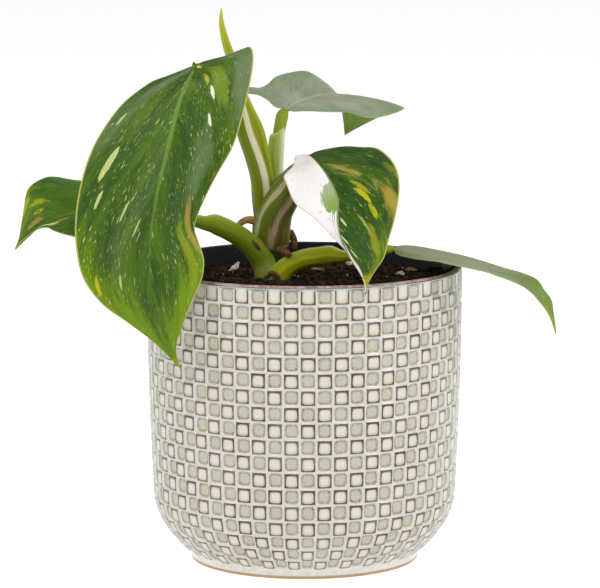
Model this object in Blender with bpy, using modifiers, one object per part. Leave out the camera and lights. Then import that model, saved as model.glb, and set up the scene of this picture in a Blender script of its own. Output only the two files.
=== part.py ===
"""A potted philodendron: the plant in peat, in a plastic nursery pot, inside a glazed ceramic cachepot.

Metres, +Z up. The origin is on the pot's axis at its flat base, and -Y is the plant's front.
Plant points are in millimetres: x and y from the pot's axis, z from the plane of the rim.
"""

import math

import bmesh
import bpy
from mathutils import Vector, noise

# Driving dimensions, in metres
POT_RADIUS = 0.070  # outside, over the raised tiles at the rim
POT_HEIGHT = 0.132
POT_TAPER = 0.0045  # how much narrower the wall is at the top of the belly
BELLY_DROP = 0.0145  # how far the belly turns in below that
BELLY_HEIGHT = 0.030
FOOT_HEIGHT = 0.0035
POT_WALL = 0.0050
RIM_WALL = 0.0036
RIM_BAND = 0.006  # height of the thin wall at the rim
RIM_BLEND = 0.004  # height over which the wall thins to it
POT_FLOOR = 0.0060
FLOOR_ROUND = 0.0020
FOOT_EDGE = 0.0009  # the worn round at the foot's outer edge

LINER_GAP = 0.0008  # between the liner's lip and the inside of the rim
LINER_WALL = 0.0010
LINER_LIP = 0.0026  # how far the lip stands out from the liner's wall
LINER_LIP_HEIGHT = 0.007
LINER_TAPER = 0.016
LINER_PROUD = 0.0011  # the liner's edge above the rim
LINER_FOOT_ROUND = 0.0030
LIP_SHOULDER = 0.0015
DRAIN_HOLE_RADIUS = 0.0035
DRAIN_HOLE_INSET = 0.016
DRAIN_HOLES = 6

SOIL_BELOW_RIM = 0.0085
SOIL_CROWN = 0.0008
ROOT_DEPTH = 0.045

FIT_GAP = 0.0003  # between pieces that touch
BLADE_THICKNESS = 0.0008

# The plant's sizes and points are for a pot of this radius, and the plant grows with its pot.
SET_OUT_RADIUS = 0.070
GROWTH = POT_RADIUS / SET_OUT_RADIUS
STEM_RADIUS = 0.0048
PETIOLE_FRONT_RADIUS = 0.0042
PETIOLE_LEFT_RADIUS = 0.0047
PETIOLE_LOW_RADIUS = 0.0042
PETIOLE_BACK_RADIUS = 0.0026
SHEATH_RIGHT_RADIUS = 0.0080
SHEATH_BACK_RADIUS = 0.0038
NEW_LEAF_RADIUS = 0.0027
AERIAL_ROOT_RADIUS = 0.0011
SOIL_ROOT_RADIUS = 0.0016
BASAL_SHOOT_RADIUS = 0.0019
DRY_SCRAP_RADIUS = 0.0008

SOIL_TOP = POT_HEIGHT - SOIL_BELOW_RIM
ROUND_STEPS = 48
NEVER_MERGE = 0.00001


def at(x, y, z):
    """A point of the plant, from millimetres off the axis and off the rim's plane."""
    return Vector((x, y, z)) * (0.001 * GROWTH) + Vector((0, 0, POT_HEIGHT))


def on_soil(x, y, z):
    """A point that keeps its height over the soil."""
    return Vector((x, y, z)) * (0.001 * GROWTH) + Vector((0, 0, SOIL_TOP))


# Scene, collections and materials

for old in list(bpy.data.objects):
    bpy.data.objects.remove(old, do_unlink=True)

parts = bpy.data.collections.new("potted_philodendron")
cutters = bpy.data.collections.new("cutters")
bpy.context.scene.collection.children.link(parts)
bpy.context.scene.collection.children.link(cutters)


def finish_of(name, colour, roughness):
    material = bpy.data.materials.new(name)
    material.use_nodes = True
    shader = material.node_tree.nodes["Principled BSDF"]
    shader.inputs["Base Color"].default_value = (*colour, 1.0)
    shader.inputs["Roughness"].default_value = roughness
    return material


GLAZE = finish_of("celadon_glaze", (0.72, 0.72, 0.66), 0.18)
LINER = finish_of("black_plastic", (0.012, 0.012, 0.014), 0.45)
PEAT = finish_of("peat", (0.035, 0.020, 0.012), 0.95)
PERLITE = finish_of("perlite", (0.75, 0.74, 0.70), 0.9)
BARK = finish_of("bark", (0.12, 0.065, 0.035), 0.9)
GREEN = finish_of("leaf_green", (0.055, 0.16, 0.025), 0.4)
PALE = finish_of("leaf_white_and_green", (0.45, 0.50, 0.30), 0.4)
STALK = finish_of("stalk_green", (0.16, 0.26, 0.03), 0.42)
DRY = finish_of("dry_brown", (0.16, 0.07, 0.03), 0.8)


def put(name, mesh, material, home=None):
    obj = bpy.data.objects.new(name, mesh)
    mesh.materials.clear()
    mesh.materials.append(material)
    (home or parts).objects.link(obj)
    return obj


def shade(obj, angle=35):
    obj.data.shade_smooth()
    obj.data.set_sharp_from_angle(angle=math.radians(angle))


def hide_as_cutter(obj):
    obj.hide_render = True
    obj.display_type = "WIRE"


# Turned pieces


def turned(name, profile, material):
    """A Screw of a (radius, height) profile from the axis, out, down its outer side and back."""
    mesh = bpy.data.meshes.new(name)
    points = [(radius, 0.0, height) for radius, height in profile]
    mesh.from_pydata(points, [(i, i + 1) for i in range(len(points) - 1)], [])
    obj = put(name, mesh, material)
    screw = obj.modifiers.new("turn", "SCREW")
    screw.axis = "Z"
    screw.steps = ROUND_STEPS
    screw.render_steps = ROUND_STEPS
    screw.use_merge_vertices = True
    screw.merge_threshold = NEVER_MERGE
    screw.use_smooth_shade = True
    return obj


def pot_outside(height):
    """Outside radius of the cachepot: a slight taper, then a belly that turns in to the foot."""
    radius = POT_RADIUS - POT_TAPER * (1 - height / POT_HEIGHT) ** 2
    if height < BELLY_HEIGHT:
        turn = (BELLY_HEIGHT - height) / (BELLY_HEIGHT - FOOT_HEIGHT)
        radius -= BELLY_DROP * min(turn, 1.0) ** 2
    return radius


def arc(centre, radius, start, end, steps):
    """Points on a round of the profile, angles in degrees."""
    turns = [math.radians(start + (end - start) * i / steps) for i in range(steps + 1)]
    return [(centre[0] + radius * math.cos(a), centre[1] + radius * math.sin(a)) for a in turns]


def make_cachepot():
    round_radius = RIM_WALL / 2
    crest = (POT_RADIUS - round_radius, POT_HEIGHT - round_radius)
    walls = [BELLY_HEIGHT + (POT_HEIGHT - BELLY_HEIGHT) * share for share in (0.75, 0.45, 0.2)]
    for step in range(6):
        drop = math.sin(math.radians(18 * step))
        walls.append(BELLY_HEIGHT - (BELLY_HEIGHT - FOOT_HEIGHT) * drop)
    foot = pot_outside(FOOT_HEIGHT)
    inside = [(0.0, POT_FLOOR)]
    inside += [(pot_outside(POT_FLOOR) - POT_WALL - FLOOR_ROUND, POT_FLOOR)]
    inside += [(pot_outside(h) - POT_WALL, h) for h in reversed(walls) if h > POT_FLOOR + FLOOR_ROUND]
    inside += [(POT_RADIUS - POT_WALL, POT_HEIGHT - RIM_BAND - RIM_BLEND)]
    inside += [(POT_RADIUS - RIM_WALL, POT_HEIGHT - RIM_BAND)]
    outside = arc(crest, round_radius, 180, 0, 6)
    outside += [(pot_outside(h), h) for h in walls]
    outside += [(foot, FOOT_EDGE), (foot - FOOT_EDGE, 0.0), (0.0, 0.0)]
    return turned("cachepot", inside + outside, GLAZE)


LIP_TOP = POT_HEIGHT + LINER_PROUD
LINER_BASE = POT_FLOOR + FIT_GAP
LIP_RADIUS = POT_RADIUS - RIM_WALL - LINER_GAP
WALL_RADIUS = LIP_RADIUS - LINER_LIP
BASE_RADIUS = WALL_RADIUS - LINER_TAPER


def liner_outside(height):
    share = (height - LINER_BASE) / (LIP_TOP - LINER_BASE)
    return BASE_RADIUS + (WALL_RADIUS - BASE_RADIUS) * share


def make_nursery_pot():
    under_lip = LIP_TOP - LINER_LIP_HEIGHT
    floor = LINER_BASE + LINER_WALL
    profile = [
        (0.0, floor),
        (BASE_RADIUS - LINER_FOOT_ROUND - LINER_WALL / 2, floor),
        (liner_outside(floor + LINER_FOOT_ROUND) - LINER_WALL, floor + LINER_FOOT_ROUND),
        (WALL_RADIUS - LINER_WALL, LIP_TOP),
        (LIP_RADIUS, LIP_TOP),
        (LIP_RADIUS, under_lip),
        (liner_outside(under_lip), under_lip - LIP_SHOULDER),
        (liner_outside(LINER_BASE + LINER_FOOT_ROUND), LINER_BASE + LINER_FOOT_ROUND),
        (BASE_RADIUS - LINER_FOOT_ROUND, LINER_BASE),
        (0.0, LINER_BASE),
    ]
    pot = turned("nursery_pot", profile, LINER)
    ring = BASE_RADIUS - DRAIN_HOLE_INSET
    for i in range(DRAIN_HOLES):
        turn = 2 * math.pi * (i + 0.5) / DRAIN_HOLES
        bpy.ops.mesh.primitive_cylinder_add(
            vertices=12,
            radius=DRAIN_HOLE_RADIUS,
            depth=4 * LINER_WALL,
            location=(ring * math.cos(turn), ring * math.sin(turn), LINER_BASE + LINER_WALL / 2),
        )
        cut_away(pot, move_to_cutters(bpy.context.object, f"drain_cutter_{i + 1}"))
    return pot


def move_to_cutters(obj, name):
    for home in list(obj.users_collection):
        home.objects.unlink(obj)
    cutters.objects.link(obj)
    obj.name = name
    hide_as_cutter(obj)
    return obj


def cut_away(obj, cutter):
    boolean = obj.modifiers.new(cutter.name, "BOOLEAN")
    boolean.operation = "DIFFERENCE"
    boolean.object = cutter


def soil_edge(height):
    return liner_outside(height) - LINER_WALL - FIT_GAP


def make_soil():
    base = LINER_BASE + LINER_WALL + FIT_GAP
    low = base + LINER_FOOT_ROUND
    edge_top = SOIL_TOP - SOIL_CROWN
    profile = [(0.0, SOIL_TOP)]
    profile += [(soil_edge(edge_top) * 0.6, SOIL_TOP - SOIL_CROWN * 0.4)]
    profile += [(soil_edge(edge_top), edge_top), (soil_edge(low), low)]
    profile += [(BASE_RADIUS - LINER_FOOT_ROUND - LINER_WALL - FIT_GAP, base), (0.0, base)]
    return turned("soil", profile, PEAT)


# Stalks and roots: round pieces along smooth routes


def smooth_route(points, steps):
    """A Catmull-Rom curve through the points."""
    ends = [points[0] * 2 - points[1]] + points + [points[-1] * 2 - points[-2]]
    route = []
    for i in range(1, len(ends) - 2):
        before, start, stop, after = ends[i - 1 : i + 3]
        for step in range(steps):
            t = step / steps
            route.append(
                0.5
                * (
                    2 * start
                    + (stop - before) * t
                    + (2 * before - 5 * start + 4 * stop - after) * t**2
                    + (3 * start - before - 3 * stop + after) * t**3
                )
            )
    return route + [ends[-2]]


def stalk_mesh(name, points, radii, steps=2, sides_level=2, grow=0.0):
    """A closed tapering tube as a mesh: a bevelled curve with filled caps, welded."""
    route = smooth_route(points, steps)
    sizes = [v.x for v in smooth_route([Vector((r, 0, 0)) for r in radii], steps)]
    if grow:
        route[0] = route[0] + (route[0] - route[1]).normalized() * grow
        route[-1] = route[-1] + (route[-1] - route[-2]).normalized() * grow
    curve = bpy.data.curves.new(name, "CURVE")
    curve.dimensions = "3D"
    curve.bevel_depth = 1.0
    curve.bevel_resolution = sides_level
    curve.use_fill_caps = True
    spline = curve.splines.new("POLY")
    spline.points.add(len(route) - 1)
    for point, place, size in zip(spline.points, route, sizes):
        point.co = (*place, 1.0)
        point.radius = size + grow
    obj = bpy.data.objects.new(name, curve)
    bpy.context.scene.collection.objects.link(obj)
    graph = bpy.context.evaluated_depsgraph_get()
    mesh = bpy.data.meshes.new_from_object(obj.evaluated_get(graph))
    bpy.data.objects.remove(obj)
    shell = bmesh.new()
    shell.from_mesh(mesh)
    bmesh.ops.remove_doubles(shell, verts=shell.verts, dist=NEVER_MERGE)
    bmesh.ops.recalc_face_normals(shell, faces=shell.faces)
    shell.to_mesh(mesh)
    shell.free()
    mesh.name = name
    return mesh


class Stalk:
    """A tube and the slightly larger cutter that clears it out of its neighbours."""

    def __init__(self, name, material, points, radii, steps=2, sides_level=2, clear=()):
        self.obj = put(name, stalk_mesh(name, points, radii, steps, sides_level), material)
        grown = stalk_mesh(f"{name}_clearance", points, radii, steps, sides_level, FIT_GAP)
        self.cutter = put(f"{name}_clearance", grown, material, cutters)
        hide_as_cutter(self.cutter)
        shade(self.obj)
        for other in clear:
            cut_away(self.obj, other.cutter)


def scaled(radius, shares):
    return [radius * GROWTH * share for share in shares]


def make_stalks():
    stem = Stalk(
        "stem",
        STALK,
        [on_soil(-17, 1, -1000 * ROOT_DEPTH), on_soil(-18, 0, -20), on_soil(-18, 0, 0)]
        + [at(-16, 0, 1), at(-13, 0, 6.5), at(-13, 0, 12.5), at(-14, 1, 19.5)],
        scaled(STEM_RADIUS, [0.6, 0.9, 0.95, 1.0, 1.04, 1.0, 0.9]),
    )
    front = Stalk(
        "petiole_front",
        STALK,
        [at(-18, -3, 19), at(-19.5, -3, 28), at(-21.5, -4, 39), at(-24, -6, 49)]
        + [at(-26.5, -9, 59.5), at(-28.5, -13, 70), at(-31, -18, 78), at(-36, -25, 84.5)]
        + [at(-41.5, -31.5, 87.5), at(-45, -35.8, 89.6)],
        scaled(PETIOLE_FRONT_RADIUS, [1.05, 1.05, 1.0, 0.96, 0.9, 0.8, 0.7, 0.62, 0.55, 0.3]),
        clear=[stem],
    )
    new_leaf = Stalk(
        "new_leaf",
        STALK,
        [at(-16, 3, 26), at(-16, 3, 37), at(-18, 2, 48.5), at(-20.5, 1, 59.5), at(-26, 1, 71.5)]
        + [at(-29.5, 1, 81.5), at(-32.5, 1, 92), at(-35, 1, 100), at(-36.5, 1, 107.5)]
        + [at(-36.5, 1, 113.5)],
        scaled(NEW_LEAF_RADIUS, [0.95, 1.0, 1.0, 1.0, 0.93, 0.86, 0.78, 0.62, 0.4, 0.1]),
        clear=[stem, front],
    )
    back = Stalk(
        "petiole_back",
        STALK,
        [at(-13, 6.5, 28), at(-12.8, 8, 37.5), at(-12.3, 10, 47.5), at(-11.5, 12, 56)]
        + [at(-10.5, 14, 61.5), at(-9.5, 15.5, 64.3), at(-8.7, 17, 66)],
        scaled(PETIOLE_BACK_RADIUS, [1.0, 1.0, 1.0, 1.0, 1.0, 0.8, 0.3]),
        clear=[stem, front, new_leaf],
    )
    sheath_back = Stalk(
        "sheath_back",
        STALK,
        [at(-12.9, 7, 31), at(-12.6, 9, 42), at(-11.9, 11, 51.5), at(-11.3, 12.4, 57.5)],
        scaled(SHEATH_BACK_RADIUS, [1.05, 1.0, 1.0, 0.96]),
        clear=[stem, front, new_leaf, back],
    )
    left = Stalk(
        "petiole_left",
        STALK,
        [at(-19.5, -3, 1), at(-23, -5, 7), at(-27, -6, 11.5), at(-32.5, -8, 15.5)]
        + [at(-39, -10, 19), at(-45, -11, 20), at(-57, -13, 24), at(-68, -14, 27.5)]
        + [at(-75, -13.5, 29), at(-79, -12.6, 29.5), at(-81, -12.2, 29.6)],
        scaled(PETIOLE_LEFT_RADIUS, [1, 1.02, 1, 0.98, 0.96, 0.62, 0.55, 0.5, 0.46, 0.38, 0.2]),
        clear=[stem],
    )
    low = Stalk(
        "petiole_low_right",
        STALK,
        [at(-12.5, -4.5, -7), at(-9.5, -6, -4.5), at(-7, -6.5, -1), at(-4, -7, 1.5)]
        + [at(0.5, -7.5, 3.5), at(6, -8, 4.5), at(11.5, -8.5, 5.3), at(16, -9, 4.8)]
        + [at(22, -10, 5), at(31, -10, 6.5), at(36, -10, 7.4), at(38, -10, 7.8)],
        scaled(PETIOLE_LOW_RADIUS, [0.8, 0.9, 0.95, 1, 1, 1.02, 1.02, 0.7, 0.55, 0.5, 0.42, 0.2]),
        clear=[stem],
    )
    right = Stalk(
        "petiole_right",
        STALK,
        [at(-13.5, 0, 9.5), at(-12.5, -1, 17.5), at(-11.5, -2, 26.5), at(-8.5, -3, 34)]
        + [at(-4, -4.5, 40.5), at(0.5, -8, 45.5), at(1.6, -11, 47.6), at(1.9, -12.9, 49)],
        scaled(SHEATH_RIGHT_RADIUS, [0.94, 1.0, 0.92, 0.64, 0.42, 0.3, 0.22, 0.1]),
        sides_level=3,
        clear=[stem, front, new_leaf, back, sheath_back, left],
    )
    stub = Stalk(
        "basal_shoot",
        STALK,
        [on_soil(-14.5, -12, -4), on_soil(-14.5, -12, 3), on_soil(-14, -11.5, 5.5)],
        scaled(BASAL_SHOOT_RADIUS, [1.0, 1.0, 0.6]),
        clear=[stem, low],
    )
    return {
        "stem": stem,
        "front": front,
        "new_leaf": new_leaf,
        "back": back,
        "sheath_back": sheath_back,
        "left": left,
        "low": low,
        "right": right,
        "stub": stub,
    }


def make_aerial_roots(stalks):
    """Short brown nubs on the nodes, and dry scraps of old sheath."""
    near = [stalks[key] for key in ("stem", "front", "left", "low", "right")]
    taper = scaled(AERIAL_ROOT_RADIUS, [1.1, 1.0, 0.95, 0.8])
    Stalk(
        "aerial_root_left",
        DRY,
        [at(-23, -1.5, 18.7), at(-26, -2, 20), at(-28, -2.5, 19.4), at(-29.5, -2.5, 17)],
        taper,
        clear=near,
    )
    Stalk(
        "aerial_root_front",
        DRY,
        [at(-11, -6.7, 7.3), at(-9.5, -9, 7.2), at(-8, -10.8, 6.5), at(-6.7, -12.2, 5.4)],
        taper,
        clear=near,
    )
    Stalk(
        "aerial_root_right",
        DRY,
        [at(-4.2, 1.5, 13), at(-3.1, 0.8, 11), at(-3, 0, 9), at(-3.6, -0.6, 7)],
        scaled(AERIAL_ROOT_RADIUS, [0.77, 0.82, 0.77, 0.55]),
        clear=near,
    )
    Stalk(
        "dry_scale_left",
        DRY,
        [at(-23.6, -9.5, 12), at(-21.5, -10.4, 10), at(-19.3, -10.2, 7.6)],
        scaled(DRY_SCRAP_RADIUS, [0.5, 1.0, 0.5]),
        clear=near,
    )
    Stalk(
        "dry_husk",
        DRY,
        [on_soil(-18, -13, 0.6), on_soil(-17, -14.5, 3.6), on_soil(-14.5, -15.3, 5.6)]
        + [on_soil(-11.8, -14.8, 4.4), on_soil(-10.5, -14, 0.6)],
        scaled(DRY_SCRAP_RADIUS, [0.5, 0.9, 1.0, 0.9, 0.5]),
        clear=near + [stalks["stub"]],
    )


def make_soil_roots(stem):
    """Main roots that fan out from the stem's foot, through the peat."""
    roots = []
    turns_reaches_falls = [(20, 38, 30), (110, 30, 42), (200, 24, 36), (300, 34, 46)]
    for i, (turn, reach, fall) in enumerate(turns_reaches_falls):
        ahead, aside = math.cos(math.radians(turn)), math.sin(math.radians(turn))
        points = []
        for out, down in ((2.4 / reach, 0.0), (0.35, 0.15), (0.75, 0.55), (1.0, 1.0)):
            x = -17.5 + reach * out * ahead
            y = 0.5 + reach * out * aside
            points.append(on_soil(x, y, -22 - 4 * i - fall * down))
        radii = scaled(SOIL_ROOT_RADIUS, [1.0, 0.9, 0.7, 0.4])
        roots.append(Stalk(f"soil_root_{i + 1}", DRY, points, radii, 2, 1, [stem] + roots))
    return roots


# Leaf blades: lofts from the midrib out to each margin


def spaced(points, count):
    """count + 1 points at even distances along a smooth curve through the points."""
    route = smooth_route(points, 6)
    runs = [0.0]
    for start, stop in zip(route, route[1:]):
        runs.append(runs[-1] + (stop - start).length)
    result = []
    index = 0
    for i in range(count + 1):
        goal = runs[-1] * i / count
        while index < len(runs) - 2 and runs[index + 1] < goal:
            index += 1
        share = (goal - runs[index]) / (runs[index + 1] - runs[index])
        result.append(route[index].lerp(route[index + 1], min(max(share, 0.0), 1.0)))
    return result


def along(points, share):
    """The point at a share of the length of an evenly spaced route."""
    place = share * (len(points) - 1)
    index = min(int(place), len(points) - 2)
    return points[index].lerp(points[index + 1], place - index)


VEIN_SWEEP = 1.35  # how far the side veins lean towards the tip
RIBS = 14
ACROSS = 3


def make_leaf(name, material, midrib, left, right, camber):
    """An open blade of two half lofts on one midrib, thickened by Solidify."""
    mid = spaced(midrib, 40)
    mesh = bmesh.new()
    spine = [mesh.verts.new(along(mid, (i / RIBS) ** VEIN_SWEEP)) for i in range(RIBS + 1)]
    for side, margin in ((1, left), (-1, right)):
        edge = spaced(margin, RIBS)
        rows = [[spine[0]] * (ACROSS + 1)]
        for i in range(1, RIBS):
            root = spine[i].co
            along_mid = (spine[i + 1].co - spine[i - 1].co).normalized()
            out = edge[i] - root
            up = along_mid.cross(out).normalized() * side
            row = [spine[i]]
            for j in range(1, ACROSS + 1):
                v = j / ACROSS
                lift = up * (camber * out.length * 4 * v * (1 - v))
                row.append(mesh.verts.new(root + out * v + lift))
            rows.append(row)
        rows.append([spine[-1]] * (ACROSS + 1))
        for near, far in zip(rows, rows[1:]):
            for j in range(ACROSS):
                ring = [near[j], near[j + 1], far[j + 1], far[j]]
                corners = list(dict.fromkeys(ring if side > 0 else ring[::-1]))
                mesh.faces.new(corners)
    bmesh.ops.recalc_face_normals(mesh, faces=mesh.faces)
    data = bpy.data.meshes.new(name)
    mesh.to_mesh(data)
    mesh.free()
    obj = put(name, data, material)
    solid = obj.modifiers.new("thickness", "SOLIDIFY")
    solid.thickness = BLADE_THICKNESS
    solid.offset = 0.0
    shade(obj, 60)
    return obj


def points_of(rows):
    return [at(*row) for row in rows]


def make_leaves():
    make_leaf(
        "leaf_front",
        GREEN,
        points_of(
            [(-47, -38, 92), (-50, -46, 86), (-54, -52, 76), (-59, -59, 55), (-63, -62, 38)]
            + [(-66, -65, 16), (-65, -67, -6), (-60, -68, -24), (-53, -68, -36)]
        ),
        points_of(
            [(-47, -38, 92), (-51, -33, 90), (-59, -34, 87), (-67, -37, 84), (-78, -44, 76)]
            + [(-86, -50, 66), (-92, -54, 55), (-96, -57, 42), (-98, -59, 29), (-98, -61, 17)]
            + [(-95, -63, 3), (-87, -65, -8), (-76, -66, -16), (-64, -67, -25), (-53, -68, -36)]
        ),
        points_of(
            [(-47, -38, 92), (-43, -32, 93), (-34, -29, 95), (-27, -30, 98), (-23, -33, 99)]
            + [(-22, -37, 93), (-24, -41, 81), (-27, -45, 69), (-31, -48, 57), (-38, -52, 45)]
            + [(-44, -55, 33), (-47, -57, 24), (-45, -59, 17), (-43, -61, 10), (-44, -63, 2)]
            + [(-48, -65, -7), (-52, -67, -17), (-55, -68, -27), (-53, -68, -36)]
        ),
        0.05,
    )
    make_leaf(
        "leaf_left",
        GREEN,
        points_of(
            [(-82, -12, 30), (-92, -14, 28), (-100, -16, 25), (-108, -18, 23), (-115, -19, 20)]
            + [(-120, -20, 16), (-127, -20, 9)]
        ),
        points_of(
            [(-82, -12, 30), (-76, -24, 24), (-84, -36, 17), (-92, -40, 15), (-99, -39, 17)]
            + [(-105, -36, 18), (-109, -33, 19), (-112, -30, 20), (-116, -27, 19)]
            + [(-119, -24, 17), (-124, -22, 13), (-127, -20, 9)]
        ),
        points_of(
            [(-82, -12, 30), (-76, -4, 34), (-84, 5, 37), (-93, 9, 36), (-100, 10, 36)]
            + [(-106, 10, 37), (-110, 8, 38), (-115, 4, 38), (-121, -2, 35), (-123, -7, 31)]
            + [(-124, -13, 23), (-125, -18, 15), (-127, -20, 9)]
        ),
        0.04,
    )
    make_leaf(
        "leaf_back",
        GREEN,
        points_of(
            [(-8, 18, 67), (-3, 30, 69), (3, 42, 70), (11, 58, 70), (16, 74, 67), (18, 90, 61)]
            + [(19, 99, 53), (19, 104, 46)]
        ),
        points_of(
            [(-8, 18, 67), (-13, 18, 68), (-17, 22, 71), (-22, 27, 73), (-26, 31, 73)]
            + [(-25, 37, 75), (-21, 42, 74), (-17, 48, 75), (-13, 55, 78), (-7, 64, 79)]
            + [(1, 72, 79), (7, 79, 75), (12, 86, 69), (17, 93, 61), (19, 104, 46)]
        ),
        points_of(
            [(-8, 18, 67), (-5, 18, 66), (2, 20, 66), (11, 25, 65), (20, 31, 64), (29, 38, 61)]
            + [(37, 47, 61), (43, 55, 62), (46, 64, 63), (43, 74, 62), (39, 83, 59)]
            + [(33, 91, 55), (25, 99, 50), (19, 104, 46)]
        ),
        0.04,
    )
    make_leaf(
        "leaf_right",
        PALE,
        points_of(
            [(2, -14, 50), (5, -20, 48), (10, -28, 42), (14, -38, 34), (14, -46, 27)]
            + [(15, -53, 20), (19, -60, 12), (24, -67, 5), (26, -71, 1), (26, -73, -3)]
        ),
        points_of(
            [(2, -14, 50), (-1, -11, 50), (-4, -10, 49), (-5, -11, 45), (-9, -14, 41)]
            + [(-8, -18, 38), (-4, -26, 30), (4, -35, 25), (11, -44, 19), (18, -54, 13)]
            + [(23, -63, 8), (25, -69, 3), (26, -73, -3)]
        ),
        points_of(
            [(2, -14, 50), (5, -8, 51), (11, -5, 52), (18, -5, 53), (25, -8, 53)]
            + [(32, -14, 53), (38, -22, 49), (41, -30, 43), (41, -38, 35), (39, -47, 26)]
            + [(36, -54, 17), (34, -60, 11), (30, -66, 6), (27, -70, 1), (26, -73, -3)]
        ),
        0.05,
    )
    make_leaf(
        "leaf_low_right",
        GREEN,
        points_of(
            [(39, -10, 8), (55, -16, 6), (70, -22, 4), (83, -26, 0), (92, -28, -3)]
            + [(99, -29, -8), (105, -30, -13), (109, -30, -20), (110, -30, -27)]
        ),
        points_of(
            [(39, -10, 8), (41, -22, 7), (47, -33, 7), (56, -42, 7), (64, -46, 6)]
            + [(70, -47, 5), (78, -46, 3), (85, -43, 0), (92, -40, -3), (98, -36, -7)]
            + [(103, -33, -13), (107, -31, -19), (110, -30, -27)]
        ),
        points_of(
            [(39, -10, 8), (42, 0, 8), (48, 8, 7), (58, 11, 5), (69, 8, 3), (80, 0, 1)]
            + [(89, -8, -1), (96, -15, -2), (102, -21, -4), (105, -25, -8), (108, -28, -12)]
            + [(109, -29, -18), (110, -30, -27)]
        ),
        0.02,
    )


# Grains and chips that lie on the peat


def make_grain(name, material, x, y, size, squash, seed):
    mesh = bpy.data.meshes.new(name)
    ball = bmesh.new()
    bmesh.ops.create_icosphere(ball, subdivisions=1, radius=1.0)
    for vert in ball.verts:
        vert.co *= 1 + 0.25 * noise.noise(vert.co * 1.3 + Vector((seed, 0, 0)))
        vert.co.z *= squash
        vert.co *= size
    lowest = min(vert.co.z for vert in ball.verts)
    ball.to_mesh(mesh)
    ball.free()
    grain = put(name, mesh, material)
    grain.location = on_soil(x, y, 0) - Vector((0, 0, lowest - FIT_GAP))
    shade(grain, 30)


def make_litter():
    """White perlite grains and bark chips."""
    spots = [(-32, 29), (21, 50), (43, 17), (37, 5), (16, -42), (-8, 42), (-40, -22)]
    for i, (x, y) in enumerate(spots):
        make_grain(f"perlite_{i + 1}", PERLITE, x, y, 0.0022 - 0.0002 * (i % 4), 0.7, i)
    spots = [(48, 26), (30, 34), (-48, 8), (6, 30), (30, -30)]
    for i, (x, y) in enumerate(spots):
        make_grain(f"bark_chip_{i + 1}", BARK, x, y, 0.0034 - 0.0003 * (i % 3), 0.35, 20 + i)


def main():
    make_cachepot()
    make_nursery_pot()
    soil = make_soil()
    stalks = make_stalks()
    make_aerial_roots(stalks)
    roots = make_soil_roots(stalks["stem"])
    for stalk in [stalks["stem"], stalks["low"], stalks["stub"]] + roots:
        cut_away(soil, stalk.cutter)
    make_leaves()
    make_litter()


main()
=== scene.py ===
# %% [markdown]
# # A potted philodendron, finished in Blender
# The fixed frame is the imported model: a ceramic cachepot, a plastic nursery pot, peat and a young
# plant. Each cell below gives one of its pieces its real surface. A reader can run the cells in order
# and look at the scene after each one.

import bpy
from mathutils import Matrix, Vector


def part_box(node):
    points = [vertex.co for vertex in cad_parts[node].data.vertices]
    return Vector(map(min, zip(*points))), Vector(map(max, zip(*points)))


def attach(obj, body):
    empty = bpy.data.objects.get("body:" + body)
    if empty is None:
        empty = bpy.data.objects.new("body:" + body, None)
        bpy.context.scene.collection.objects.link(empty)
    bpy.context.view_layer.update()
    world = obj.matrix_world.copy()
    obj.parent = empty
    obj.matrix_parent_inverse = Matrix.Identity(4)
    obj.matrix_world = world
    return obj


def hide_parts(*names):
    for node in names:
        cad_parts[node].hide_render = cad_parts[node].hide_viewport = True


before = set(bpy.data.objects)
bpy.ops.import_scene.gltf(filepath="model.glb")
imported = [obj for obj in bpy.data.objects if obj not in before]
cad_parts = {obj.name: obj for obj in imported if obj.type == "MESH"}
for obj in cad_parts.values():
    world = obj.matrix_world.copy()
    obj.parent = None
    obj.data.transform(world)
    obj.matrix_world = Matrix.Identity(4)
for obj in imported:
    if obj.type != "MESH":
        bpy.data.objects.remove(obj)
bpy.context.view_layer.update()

# %% [markdown]
# ## Sizes
# Every place comes from the frame. The plant's points are in millimetres: x and y from the pot's
# axis, z from the plane of the rim. The pot's width sets how far one such millimetre goes, because a
# plant grows with its pot.

# %% Sizes from the frame
import math
import random

import bmesh
import bpy
import numpy as np
from mathutils import Vector, noise

MM = 0.001
POT_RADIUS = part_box("cachepot")[1].x
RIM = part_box("cachepot")[1].z
SOIL_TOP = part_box("soil")[1].z
GROWTH = POT_RADIUS / (70 * MM)
print("rim", round(RIM / MM, 1), "soil", round(SOIL_TOP / MM, 1), "growth", round(GROWTH, 3))


def at(points, base=RIM):
    """Points of the plant as a metre array, heights from base."""
    return np.array(points, float) * MM * GROWTH + np.array([0.0, 0.0, base])


# %% [markdown]
# ## Floor, light and camera
# A white table in a studio. The table glows a little, as a lit table does, so it stays white to its
# far end. The sky is bright low down and dim overhead, so that leaves and glaze keep deep colours.
# Two soft boxes, high on the left and on the right, put the sheen on the leaves, and a weak one in
# front fills the shadows. A narrow strip above the front puts the small glints on the upper slopes
# of the tiles. The Standard view keeps whites white.

# %% Floor, light and camera
AIM = Vector((-0.00195, 0.0, 0.1184))
CAMERA_DISTANCE = 1.75
CAMERA_ELEVATION = math.radians(8.5)
LENS = 236.3
FLOOR_WIDTH = 12.0
FLOOR_GREY = 0.60
FLOOR_GLOW = 0.72
SKY_FADE = (0.06, 0.40, 1.0, 0.34)  # where the sky starts and ends to dim, its strength low and high
LAMPS = (  # name, place, size, watts
    ("left_box", (-1.25, -0.45, 1.35), (0.9, 0.7), 12.0),
    ("right_box", (1.25, -0.45, 1.35), (0.9, 0.7), 14.5),
    ("front_box", (0.0, -1.7, 1.5), (2.0, 1.0), 3.0),
    ("top_strip", (0.0, -1.25, 1.38), (1.8, 0.20), 10.0),
)


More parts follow.
